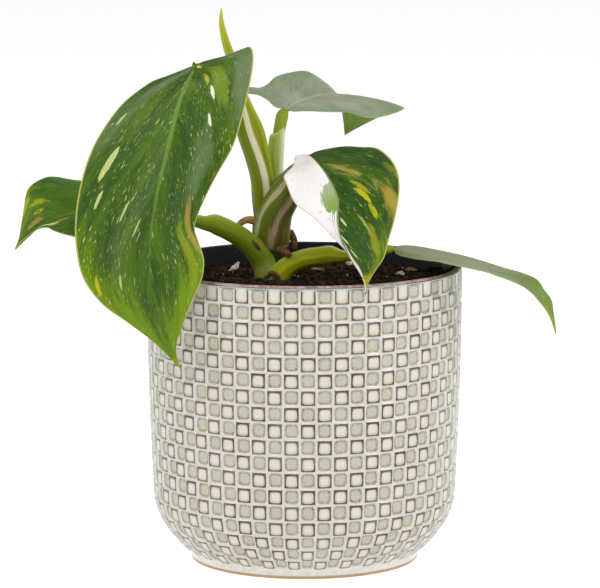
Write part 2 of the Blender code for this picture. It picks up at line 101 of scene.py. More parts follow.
def make_floor():
    bpy.ops.mesh.primitive_plane_add(size=FLOOR_WIDTH)
    floor = bpy.context.object
    floor.name = "studio_floor"
    paper = bpy.data.materials.new("pale_paper")
    paper.use_nodes = True
    shader = paper.node_tree.nodes["Principled BSDF"]
    shader.inputs["Base Color"].default_value = (FLOOR_GREY, FLOOR_GREY, FLOOR_GREY, 1.0)
    shader.inputs["Roughness"].default_value = 0.9
    shader.inputs["Specular IOR Level"].default_value = 0.0
    shader.inputs["Emission Color"].default_value = (1.0, 1.0, 1.0, 1.0)
    shader.inputs["Emission Strength"].default_value = FLOOR_GLOW
    floor.data.materials.append(paper)


def make_sky():
    """Bright from the table up to a low height, then dimmer overhead."""
    world = bpy.data.worlds.new("studio")
    world.use_nodes = True
    tree = world.node_tree
    place = tree.nodes.new("ShaderNodeTexCoord")
    split = tree.nodes.new("ShaderNodeSeparateXYZ")
    fade = tree.nodes.new("ShaderNodeMapRange")
    fade.interpolation_type = "SMOOTHSTEP"
    for socket, number in zip(list(fade.inputs)[1:5], SKY_FADE):
        socket.default_value = number
    tree.links.new(place.outputs["Generated"], split.inputs[0])
    tree.links.new(split.outputs[2], fade.inputs[0])
    tree.links.new(fade.outputs[0], tree.nodes["Background"].inputs["Strength"])
    tree.nodes["Background"].inputs["Color"].default_value = (1.0, 1.0, 1.0, 1.0)
    bpy.context.scene.world = world


def soft_box(name, place, size, watts):
    lamp = bpy.data.lights.new(name, "AREA")
    lamp.shape = "RECTANGLE"
    lamp.size, lamp.size_y = size
    lamp.energy = watts
    box = bpy.data.objects.new(name, lamp)
    box.location = place
    box.rotation_euler = (AIM - Vector(place)).to_track_quat("-Z", "Y").to_euler()
    bpy.context.scene.collection.objects.link(box)


def make_studio():
    make_floor()
    make_sky()
    for lamp in LAMPS:
        soft_box(*lamp)
    bpy.context.scene.view_settings.view_transform = "Standard"


def make_camera():
    lens = bpy.data.cameras.new("view")
    lens.lens = LENS
    lens.sensor_width = 36.0
    lens.clip_start, lens.clip_end = 0.1, 20.0
    camera = bpy.data.objects.new("view", lens)
    back = Vector((0.0, -math.cos(CAMERA_ELEVATION), math.sin(CAMERA_ELEVATION)))
    camera.location = AIM + back * CAMERA_DISTANCE
    camera.rotation_euler = (-back).to_track_quat("-Z", "Y").to_euler()
    bpy.context.scene.collection.objects.link(camera)
    bpy.context.scene.camera = camera


make_studio()
make_camera()
print("studio ready")

# %% [markdown]
# ## A short way to write finishes
# A finish here is a Principled shader fed by a few maths and noise nodes. Written out in full each
# node takes four lines, so this small class wraps the handful of nodes that the finishes need. Each
# method returns a socket, and a socket or a plain number goes in wherever a value is asked for.

# %% Node helper


class Finish:
    """A material whose methods each add one node and return its output."""

    def __init__(self, name, roughness=0.5, specular=0.5):
        self.material = bpy.data.materials.new(name)
        self.material.use_nodes = True
        self.tree = self.material.node_tree
        self.shader = self.tree.nodes["Principled BSDF"]
        self.shader.inputs["Roughness"].default_value = roughness
        self.shader.inputs["Specular IOR Level"].default_value = specular

    def feed(self, socket, value):
        if isinstance(value, bpy.types.NodeSocket):
            self.tree.links.new(value, socket)
        elif isinstance(value, tuple):
            socket.default_value = (*value, 1.0)[: len(socket.default_value)]
        else:
            socket.default_value = value

    def add(self, kind, **settings):
        made = self.tree.nodes.new(kind)
        for name, value in settings.items():
            setattr(made, name, value)
        return made

    def math(self, operation, first, second=0.0):
        made = self.add("ShaderNodeMath", operation=operation)
        self.feed(made.inputs[0], first)
        self.feed(made.inputs[1], second)
        return made.outputs[0]

    def times(self, *values):
        product = values[0]
        for value in values[1:]:
            product = self.math("MULTIPLY", product, value)
        return product

    def grade(self, value, low, high):
        """0 at low and 1 at high, smoothly; a falling grade has low above high."""
        made = self.add("ShaderNodeMapRange", interpolation_type="SMOOTHSTEP")
        for socket, number in zip(made.inputs, (value, low, high)):
            self.feed(socket, number)
        return made.outputs[0]

    def band(self, value, start, end, soft):
        """1 between start and end, falling to 0 over soft."""
        rise = self.grade(value, start - soft, start)
        return self.times(rise, self.grade(value, end + soft, end))

    def mix(self, share, first, second):
        made = self.add("ShaderNodeMix", data_type="RGBA")
        for index, value in ((0, share), (6, first), (7, second)):
            self.feed(made.inputs[index], value)
        return made.outputs[2]

    def noise(self, place, scale, detail=3.0, roughness=0.55):
        made = self.add("ShaderNodeTexNoise")
        self.feed(made.inputs["Vector"], place)
        self.feed(made.inputs["Scale"], scale)
        self.feed(made.inputs["Detail"], detail)
        self.feed(made.inputs["Roughness"], roughness)
        return made.outputs["Fac"]

    def ramp(self, value, stops):
        made = self.add("ShaderNodeValToRGB")
        line = made.color_ramp.elements
        while len(line) < len(stops):
            line.new(0.5)
        for element, (place, colour) in zip(line, stops):
            element.position = place
            element.color = (*colour, 1.0)
        self.feed(made.inputs[0], value)
        return made.outputs[0]

    def here(self):
        return self.add("ShaderNodeTexCoord").outputs["Object"]

    def chart(self):
        """The two coordinates of the piece's own chart, drawn on it when it was made."""
        chart = self.add("ShaderNodeUVMap", uv_map="chart").outputs[0]
        made = self.add("ShaderNodeSeparateXYZ")
        self.feed(made.inputs[0], chart)
        return made.outputs[0], made.outputs[1]

    def spot_on(self, x=0.0, y=0.0, z=0.0):
        made = self.add("ShaderNodeCombineXYZ")
        for socket, value in zip(made.inputs, (x, y, z)):
            self.feed(socket, value)
        return made.outputs[0]

    def set(self, name, value):
        self.feed(self.shader.inputs[name], value)

    def bump(self, height, depth):
        made = self.add("ShaderNodeBump")
        self.feed(made.inputs["Distance"], depth)
        self.feed(made.inputs["Height"], height)
        self.set("Normal", made.outputs[0])


print("finishes can be written")

# %% [markdown]
# ## A grid of points as a mesh
# The wall of the pot, the stalks and the leaves are all sheets: rows and columns of points. One
# function turns such an array into a mesh and writes the row and column numbers on it as a chart, so
# that a finish can be laid out along the piece. Rows that shrink to a point are welded afterwards.

# %% Grid to mesh


def sheet_faces(rows, columns, wrap=False):
    """Corner indices of the quads of a grid, and the chart rows and columns of those corners."""
    steps = columns if wrap else columns - 1
    i, j = np.meshgrid(np.arange(rows - 1), np.arange(steps), indexing="ij")
    i = np.stack([i, i, i + 1, i + 1], axis=-1).reshape(-1, 4)
    j = np.stack([j, j + 1, j + 1, j], axis=-1).reshape(-1, 4)
    return i * columns + j % columns, i, j


def build(name, points, faces, chart, finishes, zones=None):
    """A smooth mesh object with its chart. zones picks a finish for each face."""
    mesh = bpy.data.meshes.new(name)
    mesh.from_pydata(points.reshape(-1, 3).tolist(), [], faces.tolist())
    layer = mesh.uv_layers.new(name="chart")
    layer.data.foreach_set("uv", chart.reshape(-1).astype(np.float32))
    for finish in finishes:
        mesh.materials.append(finish.material)
    if zones is not None:
        mesh.polygons.foreach_set("material_index", zones.astype(np.int32))
    soup = bmesh.new()
    soup.from_mesh(mesh)
    bmesh.ops.remove_doubles(soup, verts=soup.verts, dist=1e-7)
    soup.to_mesh(mesh)
    soup.free()
    mesh.shade_smooth()
    made = bpy.data.objects.new(name, mesh)
    bpy.context.scene.collection.objects.link(made)
    return made


def stand_for(piece, slot, *nodes):
    """The piece rides on the one body and hides the CAD nodes it stands for; slot is not used."""
    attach(piece, "root")
    if nodes:
        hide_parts(*nodes)
    print(piece.name, len(piece.data.polygons), "faces")
    return piece


print("sheets can be built")

# %% [markdown]
# ## The glaze
# The pot is stoneware with a relief of small square tiles, like a chess board: every second tile
# stands up, the others are sunk. One pale glaze covers it. Where the glaze runs thin on a sharp crest
# the iron in the clay breaks through brown; where it pools in a sunk tile it turns grey-green. So the
# finish asks one question, how far a spot is from the middle of its tile, and colours by that. The
# chart counts tiles: x round the pot, y down from the rim.

# %% Glaze finish
TILES_ROUND = 60
TILE_ROWS = 18
CREST_IN, CREST_OUT = 0.335, 0.432  # the crest of a raised tile, in tiles from its middle
BROWN = (0.095, 0.044, 0.020)
DARK_BROWN = (0.036, 0.019, 0.011)
CREAM = (0.550, 0.515, 0.470)
CREAM_EDGE = (0.40, 0.38, 0.26)
WEB_WHITE = (0.545, 0.520, 0.475)
POOLED = (0.420, 0.400, 0.340)
POOLED_EDGE = (0.27, 0.25, 0.14)
TEAL = (0.085, 0.125, 0.105)
RIM_LINE = (0.038, 0.046, 0.060)
RIM_CLAY = (0.40, 0.27, 0.22)
RIM_DARK = (0.17, 0.10, 0.078)
FOOT_CLAY = (0.36, 0.21, 0.09)


def tile_distance(finish, across, down, place):
    """Square and round distance from a tile's middle, how low in the tile, and if it stands up."""
    x = finish.math("SUBTRACT", finish.math("FRACT", across), 0.5)
    y = finish.math("SUBTRACT", finish.math("FRACT", down), 0.5)
    count = finish.math("ADD", finish.math("FLOOR", across), finish.math("FLOOR", down))
    sunk = finish.math("MODULO", count, 2.0)
    raised = finish.math("SUBTRACT", 1.0, sunk)
    top_row = finish.times(raised, finish.grade(down, 1.001, 0.999))
    upper = finish.math("MINIMUM", y, 0.0)
    y = finish.math("SUBTRACT", y, finish.times(upper, top_row))
    aside = finish.math("ABSOLUTE", x)
    away = finish.math("ABSOLUTE", y)
    wobble = finish.times(finish.math("SUBTRACT", finish.noise(place, 900.0, 2.0), 0.5), 0.035)
    square = finish.math("ADD", finish.math("MAXIMUM", aside, away), wobble)
    fourth = finish.math("ADD", finish.math("POWER", aside, 4.0), finish.math("POWER", away, 4.0))
    rounded = finish.math("ADD", finish.math("POWER", fourth, 0.25), wobble)
    return square, rounded, finish.math("MINIMUM", aside, away), y, sunk


def glaze_finish():
    glaze = Finish("celadon_glaze", roughness=0.16, specular=0.6)
    across, down = glaze.chart()
    place = glaze.here()
    square, rounded, near, y, sunk = tile_distance(glaze, across, down, place)
    blotch = glaze.noise(place, 520.0, 4.0, 0.65)
    broad = glaze.noise(place, 60.0, 2.0)
    on_top = glaze.grade(y, -0.26, -0.34)

    face = glaze.mix(glaze.grade(rounded, 0.18, CREST_IN), CREAM, CREAM_EDGE)
    # Painted shade, partly real: a thin teal line just inside the top crest of a raised tile, where the
    # dish's slope faces down under the crest and the glaze also pools.
    shade = glaze.times(glaze.band(rounded, 0.285, CREST_IN, 0.03), on_top, glaze.grade(blotch, 0.30, 0.50))
    face = glaze.mix(shade, face, TEAL)
    brown = glaze.mix(glaze.grade(blotch, 0.40, 0.62), DARK_BROWN, BROWN)
    crest_start = glaze.math("ADD", CREST_IN - 0.002, glaze.times(y, 0.06))
    crest = glaze.times(
        glaze.grade(glaze.math("SUBTRACT", rounded, crest_start), -0.008, 0.012),
        glaze.grade(square, CREST_OUT + 0.012, CREST_OUT - 0.002),
    )
    tile = glaze.mix(crest, face, brown)
    tile = glaze.mix(glaze.grade(square, CREST_OUT - 0.002, CREST_OUT + 0.012), tile, WEB_WHITE)

    fine = glaze.noise(place, 1100.0, 3.0, 0.6)
    pool = glaze.mix(glaze.times(glaze.grade(fine, 0.44, 0.64), 0.5), POOLED, (0.33, 0.32, 0.22))
    rim_of_pool = glaze.times(glaze.band(rounded, 0.32, 0.42, 0.07), glaze.grade(fine, 0.28, 0.55))
    pool = glaze.mix(rim_of_pool, pool, POOLED_EDGE)
    corner = glaze.times(glaze.grade(near, 0.19, 0.26), glaze.grade(blotch, 0.50, 0.60))
    pool = glaze.mix(glaze.times(corner, 0.85), pool, TEAL)
    pool = glaze.mix(glaze.grade(rounded, 0.395, 0.445), pool, WEB_WHITE)
    first_row = glaze.grade(down, 1.001, 0.999)
    # Painted shade, partly real: a dark teal dash at the top of each sunk tile in the first row, for the
    # shade under the rim together with glaze pooled there.
    lintel_shade_and_pool = glaze.times(first_row, glaze.grade(y, -0.355, -0.385), glaze.grade(y, -0.48, -0.44))
    lintel_shade_and_pool = glaze.times(lintel_shade_and_pool, glaze.grade(blotch, 0.25, 0.45))
    pool = glaze.mix(glaze.times(lintel_shade_and_pool, 0.9), pool, TEAL)
    tile = glaze.mix(glaze.times(glaze.grade(down, 0.22, 0.0), 0.75), tile, (0.40, 0.43, 0.34))

    wall = glaze.mix(sunk, tile, pool)
    cloud = glaze.grade(broad, 0.40, 0.62)
    wall = glaze.mix(glaze.times(cloud, 0.10), wall, (0.62, 0.62, 0.56))
    relief = glaze.band(down, 0.0, float(TILE_ROWS), 0.004)
    plain = glaze.mix(glaze.grade(blotch, 0.35, 0.7), (0.70, 0.69, 0.64), (0.60, 0.59, 0.52))
    colour = glaze.mix(relief, plain, wall)
    line = glaze.band(down, -0.12, -0.02, 0.03)
    colour = glaze.mix(glaze.times(line, 0.95), colour, RIM_LINE)
    streak = glaze.noise(place, 300.0, 4.0, 0.7)
    bare = glaze.mix(glaze.grade(streak, 0.38, 0.6), RIM_DARK, RIM_CLAY)
    on_rim = glaze.band(down, -0.86, -0.085, 0.02)
    colour = glaze.mix(on_rim, colour, bare)
    foot_start = TILE_ROWS + 0.50
    on_foot = glaze.grade(down, foot_start, foot_start + 0.05)
    colour = glaze.mix(on_foot, colour, glaze.mix(streak, FOOT_CLAY, (0.46, 0.31, 0.17)))
    glaze.set("Base Color", colour)
    dull = glaze.math("MAXIMUM", on_rim, on_foot)
    rough = glaze.math("ADD", 0.07, glaze.times(blotch, 0.07))
    glaze.set("Roughness", glaze.math("ADD", rough, glaze.times(dull, 0.5)))
    swell = glaze.math("ADD", glaze.times(blotch, 0.10), glaze.noise(place, 180.0, 2.0))
    glaze.bump(swell, 0.00022)
    return glaze


GLAZE = glaze_finish()
print("glaze ready")

# %% [markdown]
# ## The pot's wall
# The relief has to be real, because the tiles catch the light and break the outline. The wall is
# a sheet of rows and columns that lie where a tile's section turns: its middle, the inner and outer
# line of the crest, the foot of its wall and the web between tiles. Ten lines to a tile are enough.
# First comes the plain outside of the pot as a profile, then each point moves in by its relief.

# %% Pot profile
POT_TAPER = 4.5 * MM
BELLY_DROP = 14.5 * MM
BELLY_HEIGHT = 30 * MM
FOOT_HEIGHT = 3.5 * MM
RIM_ROUND = 1.8 * MM  # half the wall at the rim
POT_WALL = 5.0 * MM
POT_FLOOR = 6 * MM
WALL_TOP = RIM - RIM_ROUND
TOP_LINE = -0.5 * MM  # where the first row of tiles starts, on the round of the rim


def pot_outside(height):
    """The outside radius: a slight taper, then a belly that turns in to the foot."""
    turn = np.clip((BELLY_HEIGHT - height) / (BELLY_HEIGHT - FOOT_HEIGHT), 0.0, 1.0)
    return POT_RADIUS - POT_TAPER * (1 - height / RIM) ** 2 - BELLY_DROP * turn**2


def outer_profile():
    """Radius and height from the crest of the rim down to the foot, and the run along them."""
    turn = np.radians(np.linspace(90, 0, 13)[:-1])
    radius = POT_RADIUS - RIM_ROUND + RIM_ROUND * np.cos(turn)
    height = WALL_TOP + RIM_ROUND * np.sin(turn)
    down = np.linspace(WALL_TOP, FOOT_HEIGHT, 400)
    radius = np.append(radius, pot_outside(down))
    height = np.append(height, down)
    run = np.append(0.0, np.cumsum(np.hypot(np.diff(radius), np.diff(height))))
    return radius, height, run - run[12]


PROFILE_RADIUS, PROFILE_HEIGHT, PROFILE_RUN = outer_profile()
BAND = 1.6 * MM  # the plain band over the foot
TILE = (PROFILE_RUN[-1] - BAND - TOP_LINE) / TILE_ROWS
TILE_WIDTH = 2 * math.pi * POT_RADIUS / TILES_ROUND
print("tiles", round(TILE / MM, 2), "mm down,", round(TILE_WIDTH / MM, 2), "mm round")

# %% Tile relief
EDGE_DEPTH = 0.55 * MM  # halfway down the slope between a raised and a sunk tile
SUNK_DEPTH = 1.25 * MM
DISH_DEPTH = 0.22 * MM
HALF_LINES = (0.0, 0.25, CREST_IN, CREST_OUT, 0.488)
LATTICE_TURN = 1.28  # degrees by which the middle column stands off the front
SIDE_WANDER = 0.0016  # radians
LEVEL_WANDER = 0.10 * MM


def smooth(value, low, high):
    share = np.clip((value - low) / (high - low), 0.0, 1.0)
    return share * share * (3 - 2 * share)


def tile_lines(count):
    """Grid lines of a run of tiles, in tiles."""
    one = sorted({0.5 + side * line for line in HALF_LINES for side in (-1, 1)} | {0.0})
    return np.append((np.arange(count)[:, None] + np.array(one)).reshape(-1), float(count))


def relief(across, down):
    """How far the wall lies inside the pot's outside."""
    x = across % 1 - 0.5
    y = down % 1 - 0.5
    raised = (np.floor(across) + np.floor(down)) % 2 < 0.5
    y = np.where(raised & (down < 1), np.maximum(y, 0.0), y)
    far = (np.abs(x) ** 12 + np.abs(y) ** 12) ** (1 / 12)
    dish = smooth(far, CREST_IN + 0.01, 0.25) * DISH_DEPTH * (1 - 0.35 * smooth(far, 0.2, 0.0))
    fall = np.clip((far - CREST_OUT) / (0.5 - CREST_OUT), 0.0, 1.0)
    tile = np.where(far < CREST_OUT, dish, EDGE_DEPTH * fall)
    soft = (np.abs(x) ** 6 + np.abs(y) ** 6) ** (1 / 6)
    pool = EDGE_DEPTH + (SUNK_DEPTH - EDGE_DEPTH) * smooth(soft, 0.50, 0.35)
    depth = np.where(raised, tile, pool)
    depth = np.where(down >= TILE_ROWS, EDGE_DEPTH, depth)
    return np.where(down <= 0, 0.0, depth)


def unevenness(turn, down):
    """A hand-made wander of the tile lines, in tiles."""
    ring = np.stack([np.cos(turn) * 9, np.sin(turn) * 9, down], axis=-1).reshape(-1, 3)
    return np.array([noise.noise(Vector(p)) for p in ring * 0.9]).reshape(turn.shape)


def make_cachepot():
    across = tile_lines(TILES_ROUND)[:-1]
    tiles_down = tile_lines(TILE_ROWS)
    above = np.linspace(PROFILE_RUN[0], TOP_LINE, 8)[:-1] - TOP_LINE
    below = np.linspace(0.12, BAND / TILE, 5)[1:] + TILE_ROWS
    down = np.concatenate([above / TILE, [-0.02], tiles_down, [TILE_ROWS + 0.06], below])
    run = down * TILE + TOP_LINE
    radius = np.interp(run, PROFILE_RUN, PROFILE_RADIUS)
    height = np.interp(run, PROFILE_RUN, PROFILE_HEIGHT)
    slope = np.stack([np.gradient(radius, run), np.gradient(height, run)])
    slope /= np.hypot(*slope)
    first = math.radians(-90 + LATTICE_TURN - 180 / TILES_ROUND)
    grid_across, grid_down = np.meshgrid(across, down)
    depth = relief(grid_across, grid_down)
    turn = first + grid_across * 2 * math.pi / TILES_ROUND
    turn = turn + SIDE_WANDER * unevenness(turn, grid_down)
    ring = radius[:, None] + depth * slope[1][:, None]
    level = height[:, None] - depth * slope[0][:, None]
    off_ends = (grid_down > 0.5) & (grid_down < TILE_ROWS - 0.5)
    level = level + LEVEL_WANDER * unevenness(turn + 2.0, grid_down) * off_ends

    inner = [
        (POT_RADIUS - RIM_ROUND * (1 + math.sin(a)), WALL_TOP + RIM_ROUND * math.cos(a))
        for a in (0.5, 1.0, 1.57)
    ]
    inner += [(POT_RADIUS - 2 * RIM_ROUND - 0.1 * MM, RIM - 6 * MM), (POT_RADIUS - POT_WALL, RIM - 10 * MM)]
    inner += [(pot_outside(h * MM) - POT_WALL, h * MM) for h in (90, 60, 40, 30, 22, 15, 10)]
    inner += [(pot_outside(POT_FLOOR) - POT_WALL - 2 * MM, POT_FLOOR), (0.0, POT_FLOOR)]
    foot = pot_outside(FOOT_HEIGHT) - EDGE_DEPTH
    outer = [(foot, 2.2 * MM), (foot - 0.1 * MM, 0.8 * MM), (foot - 0.5 * MM, 0.15 * MM)]
    outer += [(foot - 1.0 * MM, 0.0), (foot - 5.5 * MM, 0.0), (foot - 6.5 * MM, 1.0 * MM), (0.0, 1.2 * MM)]
    inner_down = -0.32 - np.cumsum([0.1, 0.1, 0.1] + [0.8] * (len(inner) - 3))
    outer_down = TILE_ROWS + np.array([0.45, 0.6, 0.7, 0.8, 1.0, 1.2, 2.0])

    def rings(pairs):
        pairs = np.array(pairs)[:, :, None] * np.ones(len(across))
        return pairs[:, 0], pairs[:, 1]

    inner_ring, inner_level = rings(inner[::-1])
    outer_ring, outer_level = rings(outer)
    ring = np.concatenate([inner_ring, ring, outer_ring])
    level = np.concatenate([inner_level, level, outer_level])
    turn = np.concatenate([turn[:1].repeat(len(inner), 0), turn, turn[-1:].repeat(len(outer), 0)])
    down = np.concatenate([inner_down[::-1], down, outer_down])
    points = np.stack([ring * np.cos(turn), ring * np.sin(turn), level], axis=-1)
    faces, i, j = sheet_faces(len(down), len(across), wrap=True)
    columns = np.append(across, TILES_ROUND)
    chart = np.stack([columns[j], down[i]], axis=-1)
    return build("glazed_cachepot", points, faces[:, ::-1], chart[:, ::-1], [GLAZE])


stand_for(make_cachepot(), "glaze", "cachepot")

# %% [markdown]
# ## The nursery pot
# A thin black pot, formed hot from a sheet. It is turned from a profile by a Screw modifier, which
# keeps its wall even, and its drain holes are cut with cylinders. The plastic is dull from fine
# scuffs, and dry peat dust clings to its inside.

# %% Nursery pot
LINER_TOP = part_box("nursery_pot")[1].z
LINER_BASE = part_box("nursery_pot")[0].z
LIP_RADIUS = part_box("nursery_pot")[1].x
LIP = 2.6 * MM
LINER_WALL = 1.0 * MM
LINER_TAPER = 16 * MM
DRAIN_HOLES = 6


def plastic_finish():
    plastic = Finish("scuffed_black_plastic", roughness=0.5, specular=0.18)
    place = plastic.here()
    scuff = plastic.noise(place, 1400.0, 4.0, 0.7)
    dust = plastic.times(plastic.grade(plastic.noise(place, 900.0, 5.0, 0.7), 0.60, 0.70), 0.5)
    haze = plastic.grade(plastic.noise(place, 70.0, 3.0), 0.4, 0.8)
    colour = plastic.mix(plastic.times(haze, 0.5), (0.004, 0.004, 0.005), (0.012, 0.011, 0.010))
    plastic.set("Base Color", plastic.mix(dust, colour, (0.13, 0.095, 0.06)))
    plastic.set("Roughness", plastic.math("ADD", 0.45, plastic.times(haze, 0.25)))
    plastic.bump(scuff, 0.00006)
    return plastic


def liner_outside(height):
    share = (height - LINER_BASE) / (LINER_TOP - LINER_BASE)
    return LIP_RADIUS - LIP - LINER_TAPER * (1 - share)


def make_nursery_pot(finish):
    inside = liner_outside(LINER_TOP) - LINER_WALL
    floor = LINER_BASE + LINER_WALL
    profile = [(0.0, floor), (liner_outside(floor) - 4 * MM, floor)]
    profile += [(liner_outside(floor + 3 * MM) - LINER_WALL, floor + 3 * MM)]
    profile += [(inside - 0.6 * MM, LINER_TOP - 4 * MM), (inside, LINER_TOP - 0.5 * MM)]
    profile += [(inside + 0.5 * MM, LINER_TOP), (LIP_RADIUS - 0.5 * MM, LINER_TOP)]
    profile += [(LIP_RADIUS, LINER_TOP - 0.5 * MM), (LIP_RADIUS, LINER_TOP - 7 * MM)]
    profile += [(LIP_RADIUS - 0.5 * MM, LINER_TOP - 7.4 * MM)]
    profile += [(liner_outside(LINER_TOP - 8.5 * MM), LINER_TOP - 8.5 * MM)]
    profile += [(liner_outside(LINER_BASE + 3 * MM), LINER_BASE + 3 * MM)]
    profile += [(liner_outside(LINER_BASE) - 3 * MM, LINER_BASE), (0.0, LINER_BASE)]
    mesh = bpy.data.meshes.new("nursery_liner")
    corners = [(radius, 0.0, height) for radius, height in profile]
    mesh.from_pydata(corners, [(i, i + 1) for i in range(len(corners) - 1)], [])
    mesh.materials.append(finish.material)
    pot = bpy.data.objects.new("nursery_liner", mesh)
    bpy.context.scene.collection.objects.link(pot)
    turn = pot.modifiers.new("turn", "SCREW")
    turn.steps = turn.render_steps = 180
    turn.use_merge_vertices = True
    turn.merge_threshold = 1e-5
    ring = liner_outside(LINER_BASE) - 16 * MM
    holes = bmesh.new()
    for i in range(DRAIN_HOLES):
        way = 2 * math.pi * (i + 0.5) / DRAIN_HOLES
        hole = bmesh.ops.create_cone(
            holes, cap_ends=True, segments=32, radius1=3.5 * MM, radius2=3.5 * MM, depth=4 * MM
        )
        middle = Vector((ring * math.cos(way), ring * math.sin(way), LINER_BASE + LINER_WALL / 2))
        bmesh.ops.translate(holes, verts=hole["verts"], vec=middle)
    cutter_mesh = bpy.data.meshes.new("drain_holes")
    holes.to_mesh(cutter_mesh)
    holes.free()
    cutter = bpy.data.objects.new("drain_holes", cutter_mesh)
    bpy.context.scene.collection.objects.link(cutter)
    cut = pot.modifiers.new("drain", "BOOLEAN")
    cut.object = cutter
    graph = bpy.context.evaluated_depsgraph_get()
    done = bpy.data.meshes.new_from_object(pot.evaluated_get(graph))
    pot.modifiers.clear()
    pot.data = done
    bpy.data.objects.remove(cutter)
    done.shade_smooth()
    done.set_sharp_from_angle(angle=math.radians(35))
    return pot


stand_for(make_nursery_pot(plastic_finish()), "liner_plastic", "nursery_pot")

# %% [markdown]
# ## The peat
# Potting peat is dark and damp, with crumbs of every size, short fibres and a few pale grains. The
# ground is one turned sheet with a rough top, closed round the root ball. It lies higher at the
# back, most of all on the right, where it was pressed against the pot. Its rough top is moved into
# the points, so that it is there in the mesh as well as in the finish.

# %% Peat ground
SOIL_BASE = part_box("soil")[0].z
SOIL_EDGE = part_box("soil")[1].x
DICE = random.Random(11)


def peat_finish(name, dark, light):
    peat = Finish(name, roughness=0.95, specular=0.08)
    place = peat.here()
    coarse = peat.noise(place, 260.0, 5.0, 0.7)
    fine = peat.noise(place, 1300.0, 4.0, 0.7)
    colour = peat.mix(peat.grade(coarse, 0.40, 0.66), dark, light)
    colour = peat.mix(peat.times(peat.grade(fine, 0.60, 0.72), 0.55), colour, (0.15, 0.085, 0.045))
    peat.set("Base Color", colour)
    peat.bump(peat.math("ADD", coarse, peat.times(fine, 0.5)), 0.0011)
    return peat


PEAT = peat_finish("damp_peat", (0.0060, 0.0035, 0.0020), (0.046, 0.026, 0.012))


def ground_height(x, y):
    """Height of the peat over its mean level at a spot, in metres."""
    spot = Vector((x, y, 0.0)) / MM
    lumps = noise.fractal(spot * 0.16, 0.8, 2.1, 5) * 1.0
    crumbs = abs(noise.noise(spot * 0.55)) * 1.1 + noise.noise(spot * 1.4) * 0.45
    bank = max(0.0, (spot.y * 0.75 + spot.x * 0.65 - 28) / 34) ** 2 * 2.6
    left_bank = max(0.0, (spot.y * 0.8 - spot.x * 0.5 - 34) / 24) ** 2 * 1.6
    return (lumps + crumbs + bank + left_bank - 0.6) * MM


def on_peat(x, y, above):
    """The point at a height above the peat's surface."""
    return Vector((x, y, SOIL_TOP + ground_height(x, y) + above))


def make_ground():
    columns = 300
    rings = np.append(np.linspace(0.0, 1.0, 100) ** 0.85 * (SOIL_EDGE - 0.4 * MM), [SOIL_EDGE])
    turn = np.arange(columns) * 2 * math.pi / columns
    x = rings[:, None] * np.cos(turn)
    y = rings[:, None] * np.sin(turn)
    z = np.array([[SOIL_TOP + ground_height(*spot) for spot in zip(*row)] for row in zip(x, y)])
    z[0] = z[0].mean()
    low_edge = SOIL_EDGE - LINER_TAPER * 0.93
    sides = [(SOIL_EDGE - 0.2 * MM, SOIL_TOP - 6 * MM), (low_edge, SOIL_BASE + 3 * MM)]
    sides += [(low_edge - 4 * MM, SOIL_BASE), (0.0, SOIL_BASE)]
    for radius, height in sides:
        x = np.vstack([x, radius * np.cos(turn)])
        y = np.vstack([y, radius * np.sin(turn)])
        z = np.vstack([z, np.full(columns, height)])
    points = np.stack([x, y, z], axis=-1)
    faces, i, j = sheet_faces(len(x), columns, wrap=True)
    chart = np.stack([j / columns, i / len(x)], axis=-1)
    return build("peat_ground", points, faces[:, ::-1], chart[:, ::-1], [PEAT])


stand_for(make_ground(), "peat", "soil")

# %% [markdown]
# ## Loose peat
# Loose crumbs, fibres and clods are strewn on the ground as real geometry, because only those throw
# the small shadows that make earth look deep. Each kind is gathered in one mesh, which is lighter to
# handle than a thousand objects. Every draw comes from one seeded dice, so each run gives the same
# peat. First come the helpers: a rough lump, a thin thread, and a random spot on the ground.

# %% Lump, thread and spot


def lump(soup, middle, size, squash, roughness, level=1):
    """A rough pebble added to a bmesh."""
    made = bmesh.ops.create_icosphere(soup, subdivisions=level, radius=1.0)
    turn = Vector((DICE.random(), DICE.random(), DICE.random())) * 9
    for vert in made["verts"]:
        swell = 1 + roughness * noise.noise(vert.co * 1.7 + turn)
        stretch = 1 + 0.3 * noise.noise(turn)
        vert.co = Vector((vert.co.x * stretch, vert.co.y, vert.co.z * squash)) * swell * size
        vert.co += middle
    return made["verts"]


def strand(soup, points, radii, sides=5):
    """A thin round thread added to a bmesh."""
    rings = []
    for k, (point, radius) in enumerate(zip(points, radii)):
        way = (points[min(k + 1, len(points) - 1)] - points[max(k - 1, 0)]).normalized()
        aside = way.orthogonal().normalized()
        above = way.cross(aside)
        angles = [2 * math.pi * s / sides for s in range(sides)]
        ring = [soup.verts.new(point + (aside * math.cos(a) + above * math.sin(a)) * radius) for a in angles]
        rings.append(ring)
    for near, far in zip(rings, rings[1:]):
        for s in range(sides):
            soup.faces.new([near[s], near[(s + 1) % sides], far[(s + 1) % sides], far[s]])
    soup.faces.new(rings[0][::-1])
    soup.faces.new(rings[-1])


def finish_soup(name, soup, finish, slot, *nodes):
    """Turns a bmesh into a piece that stands for its nodes."""
    mesh = bpy.data.meshes.new(name)
    soup.to_mesh(mesh)
    soup.free()
    mesh.materials.append(finish.material)
    mesh.shade_smooth()
    made = bpy.data.objects.new(name, mesh)
    bpy.context.scene.collection.objects.link(made)
    return stand_for(made, slot, *nodes)


def random_spot(margin=2.5 * MM):
    """A spot on the peat; the root keeps the spots as dense at the edge as in the middle."""
    reach = math.sqrt(DICE.random()) * (SOIL_EDGE - margin)
    way = DICE.random() * 2 * math.pi
    return reach * math.cos(way), reach * math.sin(way)


print("helpers for loose peat ready")

# %% [markdown]
# ## Crumbs and fibres
# Most crumbs are far smaller than the largest, so the draw for their size is raised to a power. A
# fibre is a thread that bends sideways, arches off the ground and thins towards its end.

# %% Crumbs
CRUMBS = 850


